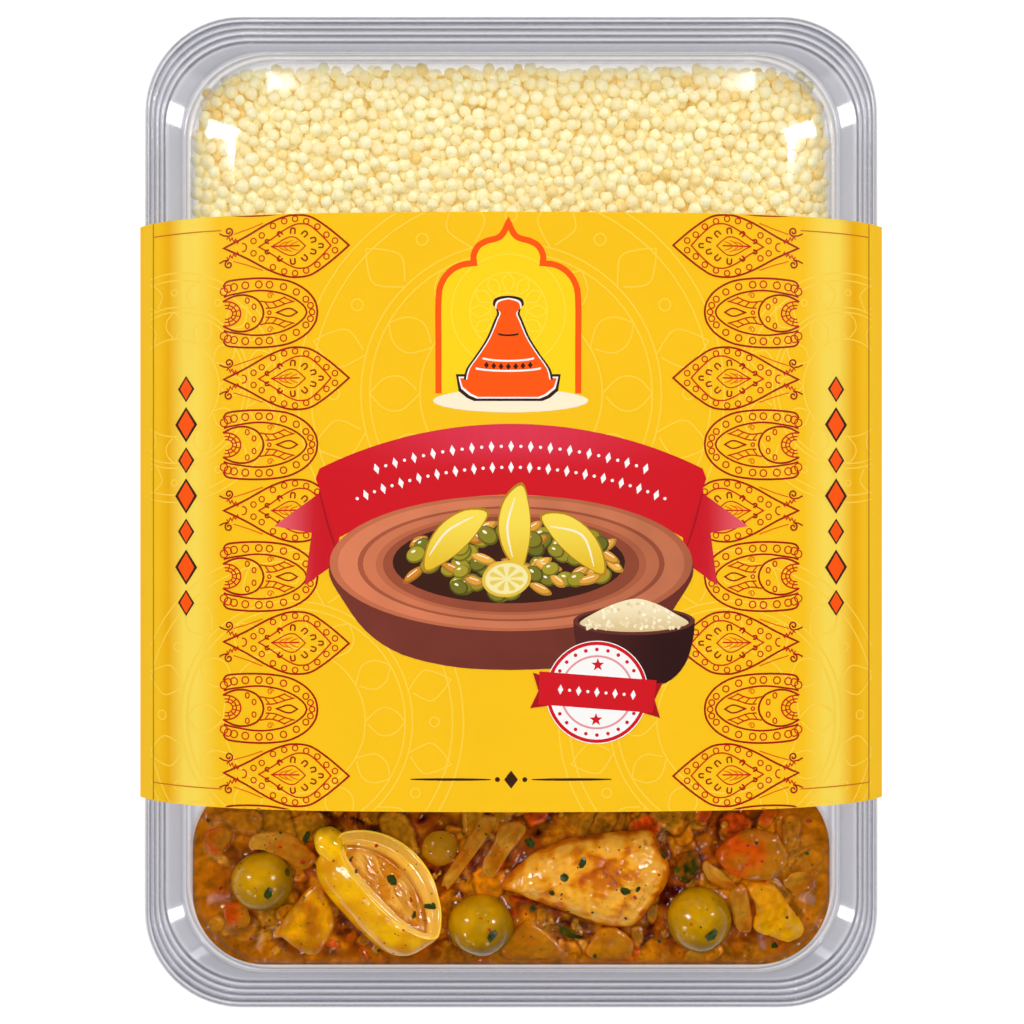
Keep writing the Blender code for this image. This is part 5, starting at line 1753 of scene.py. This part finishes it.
def build_chopped(name, kind, rise, corners, seed):
    slot, first, last, heading, roughness, uneven, lines = CHOPPED_KINDS[kind]
    low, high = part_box(name)
    middle = Vector(((low.x + high.x) / 2, (low.y + high.y) / 2, SAUCE_LEVEL))
    plan = spline([Vector(corner) / 1000 for corner in corners], 10, True)
    centre = sum(plan, Vector((0, 0))) / len(plan)
    reach = max((point - centre).length for point in plan)
    spread = np.linalg.eigh(np.cov(np.array([(point.x, point.y) for point in plan]).T))[1]
    across = Vector((-spread[1, 1], spread[0, 1]))
    toward = Vector(polar(0, 0, 1, 1, heading))
    bm = bmesh.new()
    tint = bm.verts.layers.float_color.new("tint")
    rings = []
    for share, height in spline(CHOPPED_LEVELS, 4):
        ring = []
        for point in plan:
            spot = centre + (point - centre) * share
            wave = noise(Vector((spot.x * 280, spot.y * 280, seed)))
            fine = noise(Vector((spot.x * 800, spot.y * 800, seed + 5)))
            groove = sin(spot.dot(across) * 3000 + 3.5 * wave)
            lean = 1 - 0.30 * (spot - centre).dot(toward) / reach
            z = height * rise / 1000 * (lean if height > 0 else 1)
            z += uneven * (wave + 0.35 * fine + 0.25 * lines * groove) * (1.0 if height > 0 else 0.3)
            vert = bm.verts.new(middle + Vector((spot.x + 0.0003 * wave, spot.y + 0.0003 * fine, z)))
            blend = smooth_step(0.5 + 0.55 * (spot - centre).dot(toward) / reach + 0.7 * wave)
            colour = mix(first, last, blend)
            colour = mix(colour, SAUCE_COLOUR, 0.5 * smooth_step(0.35 + wave + fine))
            # Painted highlight: the ring just inside the rounded rim is brighter; the lines and fine mottle
            # are the flesh's own.
            edge = exp(-((share - 0.93) / 0.05) ** 2)
            bright = 1 + 0.14 * lines * groove + 0.25 * fine + 0.30 * edge
            colour = tuple(channel * bright for channel in colour)
            # Low down by the sauce the piece darkens: partly sauce on it, partly painted shade where it meets
            # the sauce.
            wet = smooth_step((0.0006 - z) / 0.0012)
            vert[tint] = (*mix(colour, SAUCE_DARK, 0.8 * wet), 1.0)
            ring.append(vert)
        rings.append(ring)
    close_rings(bm, rings)
    if kind not in CHOPPED_MATERIALS:
        CHOPPED_MATERIALS[kind] = wet_food(f"{kind}_flesh", 450.0, 0.00014, roughness, 0.82, 1.18, 0.04)
    piece = mesh_piece(f"{name}_cooked", bm, CHOPPED_MATERIALS[kind], 0)
    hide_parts(name)
    return piece


for order, (name, kind, rise, corners) in enumerate(CHOPPED):
    SHOWN_FOOD.append(build_chopped(name, kind, rise, corners, order * 3.7))


# ---- Herbs and spice ---------------------------------------------------------
# Chopped parsley, flakes of chilli and specks of pepper, lying where they fell on
# the sauce and the food. Each flake is a small bent plate on the surface below it.
# Flakes with a set place: x, y, length, width, turn in degrees, in millimetres.
PARSLEY_PLACES = ((-52.0, -83.6, 2.6, 1.8, 50), (-55.8, -87.4, 3.0, 2.2, 75), (-4.4, -97.2, 3.0, 2.2, 75),
                  (45.8, -96.8, 3.8, 2.4, 80), (-48.0, -76.2, 3.4, 1.6, -10), (-27.6, -85.2, 3.2, 2.4, 50),
                  (-18.9, -91.4, 3.2, 1.4, 75), (-22.4, -93.0, 2.2, 1.2, 20), (-36.9, -80.0, 2.0, 0.8, 10),
                  (-35.4, -82.2, 1.1, 1.0, 40), (16.5, -80.9, 3.4, 1.8, 30), (12.3, -84.6, 2.5, 2.3, -20),
                  (9.4, -88.0, 1.7, 1.3, 60), (4.4, -77.6, 3.2, 2.4, 20), (26.4, -87.4, 3.4, 2.6, -35),
                  (35.4, -79.8, 2.2, 3.0, 10), (29.4, -87.2, 1.2, 1.8, 10), (5.0, -93.1, 2.2, 1.5, 15),
                  (26.6, -94.3, 1.0, 0.9, 0), (36.6, -75.0, 1.4, 1.0, 30), (62.0, -101.6, 2.4, 1.6, -20),
                  (-31.0, -102.9, 2.0, 1.0, 10), (57.2, -77.2, 1.2, 1.0, 40))
# Scattered kinds: name, count, smallest and largest, colour, slot.
SPICE = (
    ("parsley_crumbs", 70, 0.0005, 0.0013, (0.030, 0.045, 0.004), "green_pepper"),
    ("chilli_flakes", 46, 0.0006, 0.0016, (0.34, 0.020, 0.002), "tomato"),
    ("pepper_specks", 620, 0.00018, 0.00050, (0.055, 0.016, 0.004), "sauce"),
)


def add_flake(bm, tree, x, y, length, width, turn, draw, bend=0.25):
    """One bent plate with ragged edges, laid on whatever is under it."""
    hit, normal, index, distance = tree.ray_cast(Vector((x, y, RIM_Z + 0.010)), Vector((0, 0, -1)))
    if hit is None:
        return
    if normal.z < 0:
        normal = -normal
    frame_turn = normal.to_track_quat("Z", "X").to_matrix().to_4x4()
    place = Matrix.Translation(hit + normal * 0.00006) @ frame_turn @ Matrix.Rotation(radians(turn), 4, "Z")
    rim = []
    for step in range(8):
        angle = tau * step / 8
        ragged = draw.uniform(0.72, 1.12)
        local = Vector((length / 2 * cos(angle) * ragged, width / 2 * sin(angle) * ragged, 0))
        local.z = bend * (local.y ** 2) / max(width, 1e-6) + draw.uniform(0, 0.06) * width
        rim.append(bm.verts.new(place @ local))
    top = bm.verts.new(place @ Vector((0, 0, 0.10 * width + 0.00005)))
    foot = bm.verts.new(place @ Vector((0, 0, -0.00010)))
    for a, b in zip(rim, rim[1:] + rim[:1]):
        bm.faces.new((a, b, top))
        bm.faces.new((b, a, foot))


def flake_piece(name, bm, colour):
    bmesh.ops.recalc_face_normals(bm, faces=bm.faces)
    leaf = wet_food(f"{name}_colour", 1500.0, 0.00006, 0.25, 0.6, 1.3)
    piece = mesh_piece(name, bm, leaf, 40)
    set_tint(piece, lambda place, normal: mix(colour, tuple(c * 1.9 for c in colour),
                                              smooth_step(0.5 + noise(place * 900))))


def build_spice():
    draw = random.Random(21)
    tree = search_tree([piece.data for piece in SHOWN_FOOD])
    bm = bmesh.new()
    for x, y, length, width, turn in PARSLEY_PLACES:
        add_flake(bm, tree, x / 1000, y / 1000, length / 1000, width / 1000, turn, draw)
    flake_piece("parsley_leaves", bm, (0.020, 0.034, 0.003))
    low_y, high_y = STEW_WELL
    for name, count, smallest, largest, colour, slot in SPICE:
        bm = bmesh.new()
        made = 0
        while made < count:
            x, y = draw.uniform(-WELL_HALF_WIDTH, WELL_HALF_WIDTH), draw.uniform(low_y, high_y)
            if inside_well(x, y, SAUCE_LEVEL, STEW_WELL, 0.0015):
                size = smallest + (largest - smallest) * draw.random() ** 2
                add_flake(bm, tree, x, y, size, size * draw.uniform(0.5, 1.0), draw.uniform(0, 360), draw)
                made += 1
        flake_piece(name, bm, colour)


build_spice()
